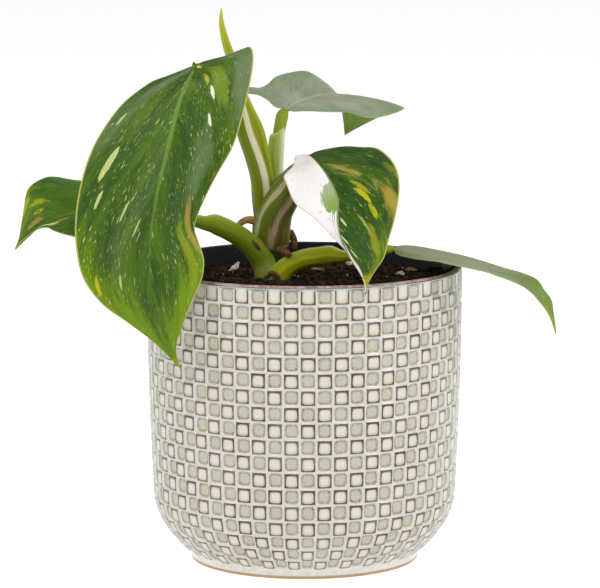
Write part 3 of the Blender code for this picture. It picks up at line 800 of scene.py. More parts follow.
def strew_crumbs():
    soup = bmesh.new()
    for _ in range(CRUMBS):
        x, y = random_spot()
        size = MM * (0.35 + 1.25 * DICE.random() ** 2.2)
        lump(soup, on_peat(x, y, size * 0.3), size, 0.75, 0.55)
    finish_soup("peat_crumbs", soup, PEAT, "peat")


strew_crumbs()

# %% Fibres
FIBRES = 190


def strew_fibres():
    fibre = peat_finish("peat_fibre", (0.030, 0.016, 0.009), (0.12, 0.065, 0.030))
    limit = SOIL_EDGE - 1.5 * MM
    soup = bmesh.new()
    for _ in range(FIBRES):
        x, y = random_spot(6 * MM)
        way = DICE.random() * 2 * math.pi
        bend = (DICE.random() - 0.5) * 1.6
        length = MM * (3 + 9 * DICE.random())
        hop = MM * (0.4 + 1.5 * DICE.random())
        points = []
        for k in range(7):
            share = k / 6
            heading = way + bend * share
            sx = x + length * share * math.cos(heading)
            sy = y + length * share * math.sin(heading)
            reach = math.hypot(sx, sy)
            if reach > limit:
                sx, sy = sx * limit / reach, sy * limit / reach
            points.append(on_peat(sx, sy, hop * math.sin(math.pi * share) + 0.25 * MM))
        radius = MM * (0.09 + 0.14 * DICE.random())
        strand(soup, points, [radius * (1 - 0.5 * k / 6) for k in range(7)])
    finish_soup("peat_fibres", soup, fibre, "peat")


strew_fibres()

# %% [markdown]
# ## Spilled crumbs and clods
# When the plant was potted, some peat fell on the nursery pot's lip and stayed there. Larger brown
# clods, drier than the rest, lie in front and to the left.

# %% Spilled crumbs
SPILLED = 900


def spill_over_the_lip():
    """Crumbs that lie on the nursery pot's lip, most of them in front."""
    soup = bmesh.new()
    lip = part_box("nursery_pot")[1]
    for _ in range(SPILLED):
        way = -math.pi / 2 + DICE.uniform(-1.2, 1.2)
        reach = lip.x - MM * 5.2 * DICE.random() ** 1.3 + 0.3 * MM
        size = MM * (0.35 + 0.65 * DICE.random() ** 1.8)
        height = lip.z - 0.2 * MM + size * 0.4 - max(0.0, reach - lip.x + 0.4 * MM) * 2
        lump(soup, Vector((reach * math.cos(way), reach * math.sin(way), height)), size, 0.8, 0.55)
    finish_soup("spilled_peat", soup, PEAT, "peat")


spill_over_the_lip()

# %% Clods
CLODS = 260


def strew_clods():
    """Larger brown clods, most of them in front and to the left."""
    soup = bmesh.new()
    for _ in range(CLODS):
        x, y = random_spot()
        size = MM * DICE.uniform(0.7, 1.8)
        if x + 0.6 * y > 12 * MM and size > 1.1 * MM:
            continue
        lump(soup, on_peat(x, y, size * 0.3), size, 0.8, 0.75)
    clods = peat_finish("brown_clods", (0.020, 0.012, 0.007), (0.105, 0.066, 0.036))
    finish_soup("peat_clods", soup, clods, "peat")


strew_clods()

# %% [markdown]
# ## Perlite and bark
# Perlite is volcanic glass, blown up by heat: white, light and pitted. Bark chips are flat and ribbed
# along the grain. Each one in the frame gets a finer lump in the same place, apart from the first
# grain, which has broken into a bowed row of small ones. Tiny crumbs of perlite lie between them.

# %% Perlite and bark
PERLITE_DUST = 46


def perlite_finish():
    white = Finish("pitted_perlite", roughness=0.85, specular=0.3)
    place = white.here()
    pits = white.noise(place, 1500.0, 4.0, 0.6)
    stain = white.grade(white.noise(place, 500.0, 3.0), 0.45, 0.7)
    colour = white.mix(white.times(stain, 0.6), (0.80, 0.79, 0.74), (0.34, 0.29, 0.19))
    white.set("Base Color", white.mix(white.grade(pits, 0.42, 0.30), colour, (0.25, 0.22, 0.16)))
    white.bump(pits, 0.0007)
    return white


def bark_finish():
    bark = Finish("ribbed_bark", roughness=0.88, specular=0.2)
    place = bark.here()
    stretch = bark.add("ShaderNodeMapping")
    stretch.inputs["Scale"].default_value = (250.0, 1100.0, 1100.0)
    bark.feed(stretch.inputs["Vector"], place)
    grain = bark.noise(stretch.outputs[0], 1.0, 5.0, 0.65)
    ridge = bark.grade(grain, 0.38, 0.66)
    bark.set("Base Color", bark.mix(ridge, (0.045, 0.022, 0.012), (0.26, 0.15, 0.08)))
    bark.bump(grain, 0.0008)
    return bark


def make_lumps():
    perlite, bark = perlite_finish(), bark_finish()
    for name in sorted(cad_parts):
        white = name.startswith("perlite_")
        if not white and not name.startswith("bark_chip_"):
            continue
        low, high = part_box(name)
        x, y = (low.x + high.x) / 2, (low.y + high.y) / 2
        size = (high.x - low.x) / 2
        middle = Vector((x, y, max((low.z + high.z) / 2, SOIL_TOP + ground_height(x, y) + size * 0.25)))
        soup = bmesh.new()
        if name == "perlite_1":
            for k in range(7):
                share = k / 6
                bow = middle + Vector((share * 3.4 - 1.2, 0.0, 3.2 * share * share - 0.4)) * MM
                lump(soup, bow, MM * (0.75 + 0.65 * math.sin(math.pi * share)), 0.8, 0.5, 2)
        elif white:
            lump(soup, middle, size * 0.92, 0.75, 0.6, 3)
        else:
            lump(soup, middle, size * 0.95, 0.35, 0.5, 3)
        if white:
            finish_soup(f"{name}_grain", soup, perlite, "perlite", name)
        else:
            finish_soup(f"{name}_piece", soup, bark, "bark", name)
    soup = bmesh.new()
    for _ in range(PERLITE_DUST):
        x, y = random_spot()
        size = MM * (0.22 + 0.45 * DICE.random() ** 2)
        lump(soup, on_peat(x, y, size), size, 0.8, 0.5)
    finish_soup("perlite_dust", soup, perlite, "perlite")


make_lumps()

# %% [markdown]
# ## Stalks
# A philodendron's stalk is round at the back and channelled on its upper side, and low down it opens
# into a sheath whose thin edges wrap the stem. Each stalk is a round section swept along a smooth
# line through a few points. Four numbers shape the section: how deep the channel is, how high the
# lips beside it stand, and where and how far one edge of a wrapped sheath laps over the other. Fine
# ribs run along every stalk, and a slant lets one side of an open mouth run on past the other. The
# chart gives the finish the turn round the stalk and the run along it.

# %% Stalk maker


def smooth_route(points, steps):
    """A Catmull-Rom curve through the rows of an array."""
    points = np.asarray(points, float)
    ends = np.vstack([2 * points[0] - points[1], points, 2 * points[-1] - points[-2]])
    route = []
    for k in range(1, len(ends) - 2):
        before, start, stop, after = ends[k - 1 : k + 3]
        for t in np.arange(steps) / steps:
            bend = (2 * before - 5 * start + 4 * stop - after) * t**2
            snap = (3 * start - before - 3 * stop + after) * t**3
            route.append(0.5 * (2 * start + (stop - before) * t + bend + snap))
    return np.array(route + [ends[-2]])


def unit(rows):
    return rows / np.maximum(np.linalg.norm(rows, axis=-1, keepdims=True), 1e-12)


SIDES = 48


def stalk(
    name, route, radii, facing, finish,
    channel=0.0, lips=0.0, lap=0.0, seam=0.0, ribs=0.02, steps=8, slant=None,
):
    """A swept stalk. Turns are counted from the facing side; seam and lap shape a wrapped sheath.
    slant is how far, at which turn and over what share of its length the open end runs on."""
    route = smooth_route(route, steps)
    count = len(route)
    share = np.linspace(0.0, 1.0, count)

    def spread(values):
        values = np.atleast_1d(np.asarray(values, float))
        return np.interp(share, np.linspace(0, 1, len(values)), values)[:, None]

    size = smooth_route(np.array(radii, float)[:, None] * GROWTH, steps)[:, :1]
    way = unit(np.gradient(route, axis=0))
    toward = np.array(facing, float)
    toward = unit(toward - way * (way @ toward)[:, None])
    aside = np.cross(way, toward)
    turn = np.linspace(-math.pi, math.pi, SIDES, endpoint=False)[None, :]
    from_seam = (turn - np.radians(spread(seam))) % (2 * math.pi) / (2 * math.pi)
    section = 1 - spread(channel) * np.exp(-((turn / 0.42) ** 2))
    section = section + spread(lips) * np.exp(-(((np.abs(turn) - 0.75) / 0.26) ** 2))
    section = section + spread(lap) * (from_seam - 0.5)
    wave = np.cos(turn * 11 + 2 * share[:, None]) + 0.6 * np.cos(turn * 17 - 1.3)
    section = section + ribs * wave * 0.5
    ring = size * section
    points = route[:, None] + ring[..., None] * (
        np.cos(turn)[..., None] * toward[:, None] + np.sin(turn)[..., None] * aside[:, None]
    )
    if slant:
        reach, peak, over = slant
        rise = np.cos(turn - math.radians(peak)) + 0.35 * np.cos(3 * (turn - math.radians(peak)))
        grow = smooth(share, 1 - over, 1.0)[:, None] * rise
        points = points + (way[:, None] * grow[..., None]) * reach * MM * GROWTH
    dome = [0.85, 0.5, 0.0]
    before = [route[0] + (points[0] - route[0]) * d - way[0] * size[0] * (1 - d) * 0.5 for d in dome[::-1]]
    after = [route[-1] + (points[-1] - route[-1]) * d + way[-1] * size[-1] * (1 - d) * 0.5 for d in dome]
    points = np.concatenate([before, points, after])
    along = np.concatenate([[0.0] * 3, share, [1.0] * 3])
    faces, i, j = sheet_faces(len(points), SIDES, wrap=True)
    chart = np.stack([j / SIDES, along[i]], axis=-1)
    return build(name, points, faces, chart, [finish])


print("a stalk's section has", SIDES, "points")

# %% [markdown]
# ## Finishes of the stalks
# A stalk's colour runs in lengthwise stripes, and on this variegated plant some stripes have no green
# at all. So each finish is a list of colours round the stalk, from its back over its left, front and
# right to its back again, mixed by the turn on the chart. A little noise, drawn out along the stalk,
# frays the edges of the stripes.

# %% Stalk finishes
BRIGHT = (0.24, 0.31, 0.006)
YELLOWED = (0.36, 0.39, 0.03)
OLIVE = (0.145, 0.185, 0.005)
MOSS = (0.085, 0.125, 0.004)
DEEP = (0.022, 0.060, 0.014)
WAXY = (0.24, 0.31, 0.20)
BLANCHED = (0.58, 0.54, 0.38)
BROWNED = (0.085, 0.055, 0.012)


def stalk_finish(
    name, stripes, foot=None, foot_end=0.12, top=None, top_start=0.9, roughness=0.40, lean=0.0
):
    """Stripes are (turn, colour); foot and top are colours the ends fade to; lean slants the stripes."""
    stem = Finish(name, roughness=roughness, specular=0.16)
    turn, along = stem.chart()
    place = stem.here()
    grain = stem.noise(stem.spot_on(stem.times(turn, 26.0), stem.times(along, 2.2), 0.0), 1.0, 4.0, 0.6)
    fray = stem.times(stem.math("SUBTRACT", grain, 0.5), 0.10)
    slanted = stem.math("ADD", turn, stem.times(stem.grade(along, 0.60, 0.0), lean))
    colour = stem.ramp(stem.math("ADD", slanted, fray), stripes)
    streak = stem.grade(grain, 0.35, 0.70)
    colour = stem.mix(stem.times(streak, 0.25), colour, stem.mix(0.4, colour, YELLOWED))
    if foot:
        colour = stem.mix(stem.grade(stem.math("ADD", along, fray), foot_end, foot_end * 0.35), colour, foot)
    if top:
        colour = stem.mix(stem.grade(along, top_start, 1.0), colour, top)
    speck = stem.grade(stem.noise(place, 620.0, 2.0), 0.70, 0.75)
    colour = stem.mix(stem.times(speck, 0.5), colour, BROWNED)
    stem.set("Base Color", colour)
    stem.set("Roughness", stem.math("ADD", roughness - 0.05, stem.times(grain, 0.12)))
    cells = stem.noise(place, 1700.0, 3.0)
    stem.bump(stem.math("ADD", grain, stem.times(cells, 0.4)), 0.00022)
    return stem


print("stalk colours ready")

# %% [markdown]
# ## Stem and leaf stalks
# The stem is short and thick. Five leaf stalks leave it in turn, each from the sheath of the one
# before. Those that rise stand up from the stem with their channel to the front; those that spread
# lie over the pot with their channel up, so their pale lips catch the light.

# %% Facing sides and radii
FRONT, UP = (0.0, -1.0, 0.0), (0.0, 0.0, 1.0)


def of_radius(radius, shares):
    return [radius * MM * share for share in shares]


print("stalks face", FRONT, "or", UP)

# %% Stem


def make_stem():
    stripes = [
        (0.0, DEEP), (0.3, MOSS), (0.42, (0.05, 0.11, 0.03)), (0.55, DEEP), (0.72, MOSS),
        (1.0, DEEP),
    ]
    finish = stalk_finish("stem_green", stripes, roughness=0.42)
    low = at([(-17, 1, -45), (-18, 0, -20), (-18, 0, 0)], SOIL_TOP)
    high = at([(-16, 0, 1), (-13, 0, 6.5), (-13, 0, 12.5), (-14, 1, 19.5)])
    radii = of_radius(4.8, [0.6, 0.9, 0.95, 1.0, 1.04, 1.0, 0.9])
    stem = stalk("main_stem", np.vstack([low, high]), radii, FRONT, finish, ribs=0.03)
    stand_for(stem, "stalk", "stem")


make_stem()

# %% [markdown]
# ## Stalk of the front leaf
# The tallest stalk rises beside the stem and bows to the front, where its blade hangs from it. One
# pale stripe without any green runs up its front.

# %% Front stalk


def make_front_stalk():
    stripes = [
        (0.0, MOSS), (0.22, (0.22, 0.26, 0.03)), (0.27, OLIVE), (0.36, (0.17, 0.20, 0.004)),
        (0.462, (0.11, 0.16, 0.003)), (0.482, (0.50, 0.49, 0.30)), (0.50, BLANCHED),
        (0.575, (0.62, 0.58, 0.42)), (0.605, (0.20, 0.25, 0.004)), (0.72, (0.26, 0.30, 0.004)),
        (0.86, OLIVE), (1.0, MOSS),
    ]
    finish = stalk_finish("front_stalk_green", stripes, foot=(0.11, 0.15, 0.02), foot_end=0.16)
    route = at(
        [(-17.6, 0.5, 17), (-18.8, -0.5, 28), (-19.8, -3.5, 39), (-22.4, -6, 49), (-26, -9, 59.5)]
        + [(-28.5, -13, 70), (-31, -18, 78), (-36, -25, 84.5), (-41.5, -31.5, 87.5), (-46.5, -37.5, 90.8)]
    )
    radii = of_radius(4.2, [1.05, 1.05, 1.0, 0.96, 0.9, 0.8, 0.7, 0.62, 0.55, 0.32])
    piece = stalk("front_leaf_stalk", route, radii, (0.5, -1, 0), finish, channel=0.10, lips=0.05)
    stand_for(piece, "stalk", "petiole_front")


make_front_stalk()

# %% [markdown]
# ## The rolled new leaf
# A new blade comes out rolled up like paper, with one edge lapping over the other, and thins to a
# point. So it is a stalk whose section has a lap, and whose seam winds a little on the way up.

# %% Rolled new leaf


def make_new_leaf():
    stripes = [
        (0.0, MOSS), (0.2, BRIGHT), (0.42, (0.34, 0.38, 0.02)), (0.5, (0.20, 0.24, 0.003)),
        (0.60, (0.24, 0.28, 0.004)), (0.75, BRIGHT), (1.0, MOSS),
    ]
    finish = stalk_finish("new_leaf_green", stripes, top=(0.38, 0.40, 0.02), top_start=0.6)
    route = at(
        [(-16, 3, 26), (-16, 3, 37), (-18, 2, 48.5), (-20.5, 1, 59.5), (-26, 1, 71.5), (-29.5, 1, 81.5)]
        + [(-32.5, 1, 92), (-35, 1, 100), (-36.5, 1, 107.5), (-36.5, 1, 113.2)]
    )
    radii = of_radius(2.7, [0.95, 1.0, 1.0, 1.0, 0.93, 0.86, 0.78, 0.62, 0.4, 0.1])
    seam = [-20, -10, 20, 40]
    piece = stalk("rolled_new_leaf", route, radii, FRONT, finish, lap=0.22, seam=seam, steps=10)
    stand_for(piece, "stalk", "new_leaf")


make_new_leaf()

# %% [markdown]
# ## Stalk and sheath of the back leaf
# This stalk comes out of an open sheath. The sheath is a wider, shorter stalk round it, and its
# mouth is cut on a slant.

# %% Back stalk


def make_back_stalk():
    stripes = [(0.0, MOSS), (0.3, OLIVE), (0.5, (0.17, 0.21, 0.008)), (0.7, (0.24, 0.28, 0.02)), (1.0, MOSS)]
    finish = stalk_finish("back_stalk_green", stripes)
    route = at(
        [(-13, 6.5, 28), (-12.8, 8, 37.5), (-12.3, 10, 47.5), (-11.5, 12, 56), (-10.5, 14, 61.5)]
        + [(-9.8, 16, 64.3), (-9, 19, 66.0)]
    )
    radii = of_radius(2.6, [1.0, 1.0, 1.0, 1.0, 1.05, 1.05, 0.7])
    piece = stalk("back_leaf_stalk", route, radii, FRONT, finish, channel=0.08, lips=0.04)
    stand_for(piece, "stalk", "petiole_back")


make_back_stalk()

# %% Back sheath


def make_back_sheath():
    stripes = [
        (0.0, BRIGHT), (0.3, (0.24, 0.32, 0.05)), (0.42, (0.20, 0.29, 0.03)), (0.55, (0.27, 0.35, 0.08)),
        (0.60, (0.50, 0.52, 0.30)), (0.65, (0.62, 0.60, 0.42)), (0.68, (0.34, 0.38, 0.12)),
        (0.71, (0.66, 0.64, 0.50)), (0.77, (0.30, 0.36, 0.08)), (1.0, BRIGHT),
    ]
    finish = stalk_finish("back_sheath_green", stripes, top=(0.36, 0.42, 0.16), top_start=0.85)
    route = at([(-12.9, 7, 31), (-12.9, 9, 42), (-12.4, 11, 51.5), (-12.0, 12.2, 56.0)])
    radii = of_radius(3.8, [1.05, 1.0, 0.97, 0.90])
    piece = stalk(
        "back_sheath", route, radii, FRONT, finish,
        lap=0.16, seam=[70, 64, 58], steps=14, slant=(2.4, 50, 0.45),
    )
    stand_for(piece, "stalk", "sheath_back")


make_back_sheath()

# %% [markdown]
# ## Sheath of the right leaf
# The widest piece of the plant wraps the stem and narrows to the stalk of the half-white leaf. Its
# stripes change from green to pale to brown, and they lean a little near its foot.

# %% Right sheath


def make_right_stalk():
    stripes = [
        (0.0, OLIVE), (0.20, OLIVE), (0.245, MOSS), (0.265, (0.17, 0.21, 0.11)),
        (0.295, (0.24, 0.28, 0.15)), (0.325, (0.10, 0.13, 0.006)), (0.36, (0.12, 0.15, 0.004)),
        (0.385, (0.12, 0.15, 0.006)), (0.405, (0.33, 0.31, 0.17)), (0.44, (0.42, 0.38, 0.23)),
        (0.455, (0.11, 0.14, 0.005)), (0.52, (0.07, 0.095, 0.003)), (0.55, (0.09, 0.09, 0.006)),
        (0.572, (0.28, 0.21, 0.12)), (0.61, (0.34, 0.26, 0.17)), (0.625, (0.12, 0.095, 0.015)),
        (0.66, BROWNED), (0.70, (0.10, 0.10, 0.012)), (0.74, (0.09, 0.075, 0.012)),
        (0.80, OLIVE), (1.0, OLIVE),
    ]
    finish = stalk_finish("right_sheath_striped", stripes, foot=(0.16, 0.22, 0.11), foot_end=0.05, lean=0.10)
    route = at(
        [(-14.6, 0, 9.0), (-14.5, -1, 13), (-14.3, -1.2, 18), (-13, -1.8, 24), (-9.6, -2.6, 30)]
        + [(-6.0, -3.6, 36), (-3.4, -4.6, 40.5), (-0.6, -7, 44.2), (1.0, -10.5, 46.6), (1.6, -12.4, 47.6)]
    )
    radii = of_radius(8.0, [0.99, 1.03, 1.03, 1.0, 0.93, 0.78, 0.60, 0.42, 0.25, 0.14])
    lap = [0.08, 0.08, 0.08, 0.08, 0.04, 0.0, 0.0]
    piece = stalk("right_leaf_sheath", route, radii, FRONT, finish, lap=lap, seam=-82, ribs=0.03)
    stand_for(piece, "stalk", "petiole_right")


make_right_stalk()

# %% [markdown]
# ## The two stalks that spread
# The left and the low stalk leave the stem near the peat and lie over the pot, so their channel
# faces up. They are thick at the foot, where they were a sheath, and thin out to their blades.

# %% Left stalk


def make_left_stalk():
    stripes = [
        (0.0, (0.15, 0.20, 0.006)), (0.12, (0.15, 0.20, 0.005)), (0.24, (0.15, 0.21, 0.004)),
        (0.36, (0.20, 0.27, 0.008)), (0.43, (0.30, 0.36, 0.06)), (0.47, (0.36, 0.40, 0.14)),
        (0.53, (0.24, 0.31, 0.03)), (0.66, OLIVE), (0.86, OLIVE), (1.0, (0.15, 0.20, 0.006)),
    ]
    finish = stalk_finish("left_stalk_green", stripes, foot=(0.38, 0.42, 0.08), foot_end=0.14)
    route = at(
        [(-17.0, -3.4, -5), (-18.2, -3.8, 1), (-22, -5, 7.4), (-27, -6, 12), (-32.5, -8, 15.8)]
        + [(-39, -10, 19), (-45, -11, 20), (-57, -13, 24), (-68, -14, 27.5), (-75, -13.5, 29)]
        + [(-79, -12.6, 29.5), (-82.5, -12, 30)]
    )
    radii = of_radius(4.7, [0.95, 1.16, 1.12, 1.04, 1.0, 0.97, 0.66, 0.55, 0.5, 0.46, 0.4, 0.3])
    lips = [0.04, 0.10, 0.12, 0.10, 0.03, 0.0]
    piece = stalk("left_leaf_stalk", route, radii, UP, finish, channel=0.10, lips=lips)
    stand_for(piece, "stalk", "petiole_left")


make_left_stalk()

# %% Low stalk


def make_low_stalk():
    stripes = [
        (0.0, (0.30, 0.33, 0.006)), (0.2, OLIVE), (0.46, (0.24, 0.30, 0.01)), (0.50, (0.30, 0.36, 0.08)),
        (0.54, (0.52, 0.52, 0.30)), (0.575, (0.48, 0.51, 0.18)), (0.60, (0.33, 0.38, 0.010)),
        (0.68, (0.28, 0.32, 0.004)), (0.735, (0.42, 0.45, 0.010)), (0.77, (0.31, 0.34, 0.004)),
        (0.82, (0.40, 0.42, 0.006)), (0.90, (0.33, 0.36, 0.005)), (1.0, (0.30, 0.33, 0.006)),
    ]
    finish = stalk_finish("low_stalk_green", stripes, foot=(0.20, 0.26, 0.10), foot_end=0.12)
    route = at(
        [(-13.4, -4.5, -7.5), (-11.2, -5.8, -4.5), (-8.2, -6.4, -0.8), (-4.2, -7, 1.8), (0.5, -7.5, 3.6)]
        + [(6, -8, 4.5), (11.5, -8.5, 5.3), (16, -9, 4.8), (22, -10, 5), (31, -10, 6.5)]
        + [(36.5, -10, 7.4), (39.5, -10, 8)]
    )
    radii = of_radius(4.2, [1.0, 1.2, 1.16, 1.08, 1.03, 1.02, 1.02, 0.7, 0.55, 0.5, 0.42, 0.3])
    lips = [0.08, 0.12, 0.13, 0.05, 0.0, 0.0]
    piece = stalk("low_leaf_stalk", route, radii, UP, finish, channel=0.12, lips=lips)
    stand_for(piece, "stalk", "petiole_low_right")


make_low_stalk()

# %% [markdown]
# ## Air roots and a dry scrap
# Short air roots sit on the stem's nodes and stopped growing in the dry air. They are swept stalks
# too, brown and wrinkled along their length, and so is the scrap of an old sheath. The youngest root
# is amber, not brown yet, so it has its own skin.

# %% Dry skins


def dry_finish(name, dark, light):
    dry = Finish(name, roughness=0.7, specular=0.2)
    turn, along = dry.chart()
    place = dry.here()
    grain = dry.noise(dry.spot_on(dry.times(turn, 9.0), dry.times(along, 5.0), 0.0), 1.0, 4.0, 0.6)
    patch = dry.noise(place, 420.0, 3.0)
    colour = dry.mix(dry.grade(grain, 0.35, 0.65), dark, light)
    dry.set("Base Color", dry.mix(dry.grade(patch, 0.58, 0.72), colour, (0.045, 0.020, 0.013)))
    dry.bump(grain, 0.0006)
    return dry


DRY = dry_finish("dry_brown_skin", (0.065, 0.028, 0.013), (0.22, 0.105, 0.040))
AMBER_SKIN = dry_finish("amber_root_skin", (0.22, 0.11, 0.035), (0.50, 0.28, 0.10))
print("dry skins ready")

# %% Air roots and scrap


def make_small_dry_pieces():
    amber_root = [(-20.5, -1.4, 18.8), (-23, -1.6, 19.6), (-25.6, -2, 19.8)]
    amber_root += [(-27.9, -2.4, 18.7), (-29.5, -2.5, 17)]
    front_root = [(-11.5, -6.2, 7.6), (-9.5, -9, 7.2), (-8, -10.8, 6.5), (-6.7, -12.2, 5.4)]
    right_root = [(-6.2, 1.7, 14.6), (-5.0, 0.8, 11.5), (-4.4, 0, 9), (-4.4, -0.6, 6.6)]
    scrap = [(-23.6, -9.5, 12), (-21.5, -10.4, 10), (-19.3, -10.2, 7.6)]
    parts = (
        ("air_root_left", amber_root, [1.9, 1.75, 1.5, 1.35, 1.1], AMBER_SKIN, "aerial_root_left"),
        ("air_root_front", front_root, [1.7, 1.65, 1.5, 1.25], DRY, "aerial_root_front"),
        ("air_root_right", right_root, [1.1, 1.5, 1.4, 0.9], DRY, "aerial_root_right"),
        ("sheath_scrap", scrap, [0.35, 0.75, 0.4], DRY, "dry_scale_left"),
    )
    for name, route, radii, skin, node in parts:
        radii = [radius * MM for radius in radii]
        stand_for(stalk(name, at(route), radii, FRONT, skin, ribs=0.12), "dry_root", node)


make_small_dry_pieces()

# %% [markdown]
# ## Side shoot in its husk
# The shoot is a short pale stalk. Its husk is old sheath that has torn into strips, so it is four
# threads that arch over the shoot, each moved and frayed a little.

# %% Side shoot and husk


def frayed(point):
    """A point of the husk, moved a little across its length."""
    aside = noise.noise(point * 900)
    up = noise.noise(point * 700 + Vector((5, 0, 0)))
    return point + Vector((0.35 * aside, 0.0, 0.35 * up)) * MM


def make_stub():
    stripes = [(0.0, OLIVE), (0.3, WAXY), (0.5, (0.24, 0.32, 0.10)), (0.7, MOSS), (1.0, OLIVE)]
    finish = stalk_finish("stub_green", stripes, top=(0.33, 0.38, 0.20), top_start=0.7)
    route = at([(-14.5, -12, -4), (-14.5, -12, 1), (-14.4, -12, 4), (-14, -11.5, 6.2)], SOIL_TOP)
    radii = of_radius(1.9, [1.2, 1.5, 1.3, 0.6])
    stand_for(stalk("side_shoot", route, radii, FRONT, finish), "stalk", "basal_shoot")
    soup = bmesh.new()
    arch = at(
        [(-18.4, -13, 0.2), (-17.6, -14.6, 3.4), (-15, -15.4, 6.4), (-12, -14.8, 5.0), (-10.4, -14, 0.2)],
        SOIL_TOP,
    )
    for shift, lift in ((0.0, 0.0), (0.5, -0.5), (-0.6, 0.4), (0.9, 0.7)):
        route = smooth_route(arch + np.array([0.2 * shift, 0.5 * shift, 0.4 * lift]) * MM, 6)
        wild = [frayed(Vector(point)) for point in route]
        last = len(wild) - 1
        radii = [(0.45 + 0.35 * math.sin(math.pi * k / last)) * MM for k in range(len(wild))]
        strand(soup, wild, radii, 6)
    finish_soup("torn_husk", soup, DRY, "dry_root", "dry_husk")


make_stub()

# %% [markdown]
# ## Main roots
# The main roots lie inside the peat, where nothing shows them. Their fixed shape is right as it is,
# so they stay and only get the dry skin.

# %% Main roots
for number in (1, 2, 3, 4):
    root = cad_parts[f"soil_root_{number}"]
    root.data.materials.clear()
    root.data.materials.append(DRY.material)
print("main roots have their skin")

# %% [markdown]
# ## Leaf blades
# A blade is two sheets that share a midrib. Its side veins leave the midrib and sweep towards the
# tip, so each row of points runs from a spot on the midrib to a spot further along the margin. The
# thickness, the sunk line of the midrib, the ridge under it, the quilting between the side veins and
# the waves of the margin are all moved into the points. The upper and the lower skin are two zones,
# because a leaf's back is paler.

# %% Blade maker
RIBS = 110
ACROSS = 26
VEIN_SWEEP = 1.35
BLADE = 0.42 * MM


def spaced(points, count):
    """count + 1 points at even distances along a smooth curve."""
    route = smooth_route(points, 8)
    run = np.append(0.0, np.cumsum(np.linalg.norm(np.diff(route, axis=0), axis=1)))
    goals = np.linspace(0.0, run[-1], count + 1)
    return np.stack([np.interp(goals, run, route[:, k]) for k in range(3)], axis=1)


def blade_surface(midrib, left, right, camber):
    """Rows from base to tip, columns from the left margin over the midrib to the right margin."""
    fine = spaced(midrib, 400)
    share = np.linspace(0, 1, RIBS + 1)
    spine = np.stack([np.interp(share**VEIN_SWEEP, np.linspace(0, 1, 401), fine[:, k]) for k in range(3)], 1)
    along = unit(np.gradient(spine, axis=0))
    v = (np.arange(ACROSS + 1) / ACROSS) ** 0.9
    halves = []
    for side, margin in ((1, left), (-1, right)):
        out = spaced(margin, RIBS) - spine
        lift = unit(np.cross(along, out)) * side
        rise = camber * np.linalg.norm(out, axis=1)[:, None] * (4 * v * (1 - v))
        halves.append(spine[:, None] + out[:, None] * v[:, None] + lift[:, None] * rise[..., None])
    return np.concatenate([halves[0][:, :0:-1], halves[1]], axis=1), np.append(v[:0:-1], -v)


def leaf(
    name, node, slot, midrib, left, right, camber, upper_side, finishes,
    quilts=15, waves=0.7, seed=0.0,
):
    """A closed blade. upper_side is a direction that its upper skin faces."""
    surface, v = blade_surface(at(midrib), at(left), at(right), camber)
    share = np.linspace(0, 1, RIBS + 1)[:, None]
    skin = np.cross(np.gradient(surface, axis=0), np.gradient(surface, axis=1))
    skin[0], skin[-1] = skin[1], skin[-2]
    skin = unit(skin)
    flipped = (skin.reshape(-1, 3) @ np.array(upper_side, float)).mean() < 0
    if flipped:
        skin = -skin
    reach = np.linalg.norm(surface - surface[:, ACROSS : ACROSS + 1], axis=-1)
    ends = np.sin(np.pi * share) ** 0.5
    body = ends * (1 - np.abs(v)) ** 0.4
    quilt = np.abs(np.sin(np.pi * quilts * share + 0.4 * v)) * body * smooth(reach, 0.0, 6 * MM)
    sway = np.array([[noise.noise(Vector((7 * s + seed, 2.2 * c, seed))) for c in v] for s in share[:, 0]])
    shift = 0.16 * MM * quilt + waves * MM * sway * smooth(np.abs(v), 0.35, 1.0) * ends
    groove = np.exp(-((reach / (0.9 * MM)) ** 2)) * (1 - share) ** 0.5
    ridge = np.exp(-((reach / (1.2 * MM)) ** 2)) * (1.15 - share)
    thin = BLADE * (1 - 0.6 * smooth(np.abs(v), 0.9, 1.0)) * np.ones_like(share)
    top = surface + skin * (shift + thin / 2 - 0.28 * MM * groove)[..., None]
    under = surface + skin * (shift - thin / 2 - 1.1 * MM * ridge)[..., None]
    rows, columns = surface.shape[:2]
    points = np.concatenate([top.reshape(-1, 3), under.reshape(-1, 3)])
    over, i, j = sheet_faces(rows, columns)
    below = over[:, ::-1] + rows * columns
    chart_over = np.stack([i / RIBS, 0.5 + 0.5 * v[j]], axis=-1)
    rims, rim_charts = [], []
    for column in (0, columns - 1):
        k = np.arange(rows - 1) * columns + column
        rim = np.stack([k, k + columns, k + columns + rows * columns, k + rows * columns], axis=-1)
        rims.append(rim if column == 0 else rim[:, ::-1])
        rim_chart = np.stack([(k // columns) / RIBS, np.full(rows - 1, 0.5 + 0.5 * v[column])], axis=-1)
        rim_charts.append(np.repeat(rim_chart[:, None], 4, axis=1))
    faces = np.concatenate([over, below, *rims])
    chart = np.concatenate([chart_over, chart_over[:, ::-1], *rim_charts])
    zones = np.concatenate([np.zeros(len(over)), np.ones(len(below)), np.zeros(2 * (rows - 1))])
    if flipped:
        faces, chart = faces[:, ::-1], chart[:, ::-1]
    made = build(name, points, faces, chart, finishes, zones)
    soup = bmesh.new()
    soup.from_mesh(made.data)
    bmesh.ops.recalc_face_normals(soup, faces=soup.faces)
    soup.to_mesh(made.data)
    soup.free()
    return stand_for(made, slot, node)


print("a blade has", RIBS + 1, "rows of", 2 * ACROSS + 1, "points")

# %% [markdown]
# ## Leaf finishes
# A variegated leaf is a patchwork of cells with and without green, and the patches follow the side
# veins. The chart of a blade runs from base to tip and from margin to margin along those veins, so
# noise that is stretched on the chart gives streaks that lie as the real ones do. Over the green come
# fine pale flecks, a few larger patches at chosen places, a pale midrib and a thin yellow margin.

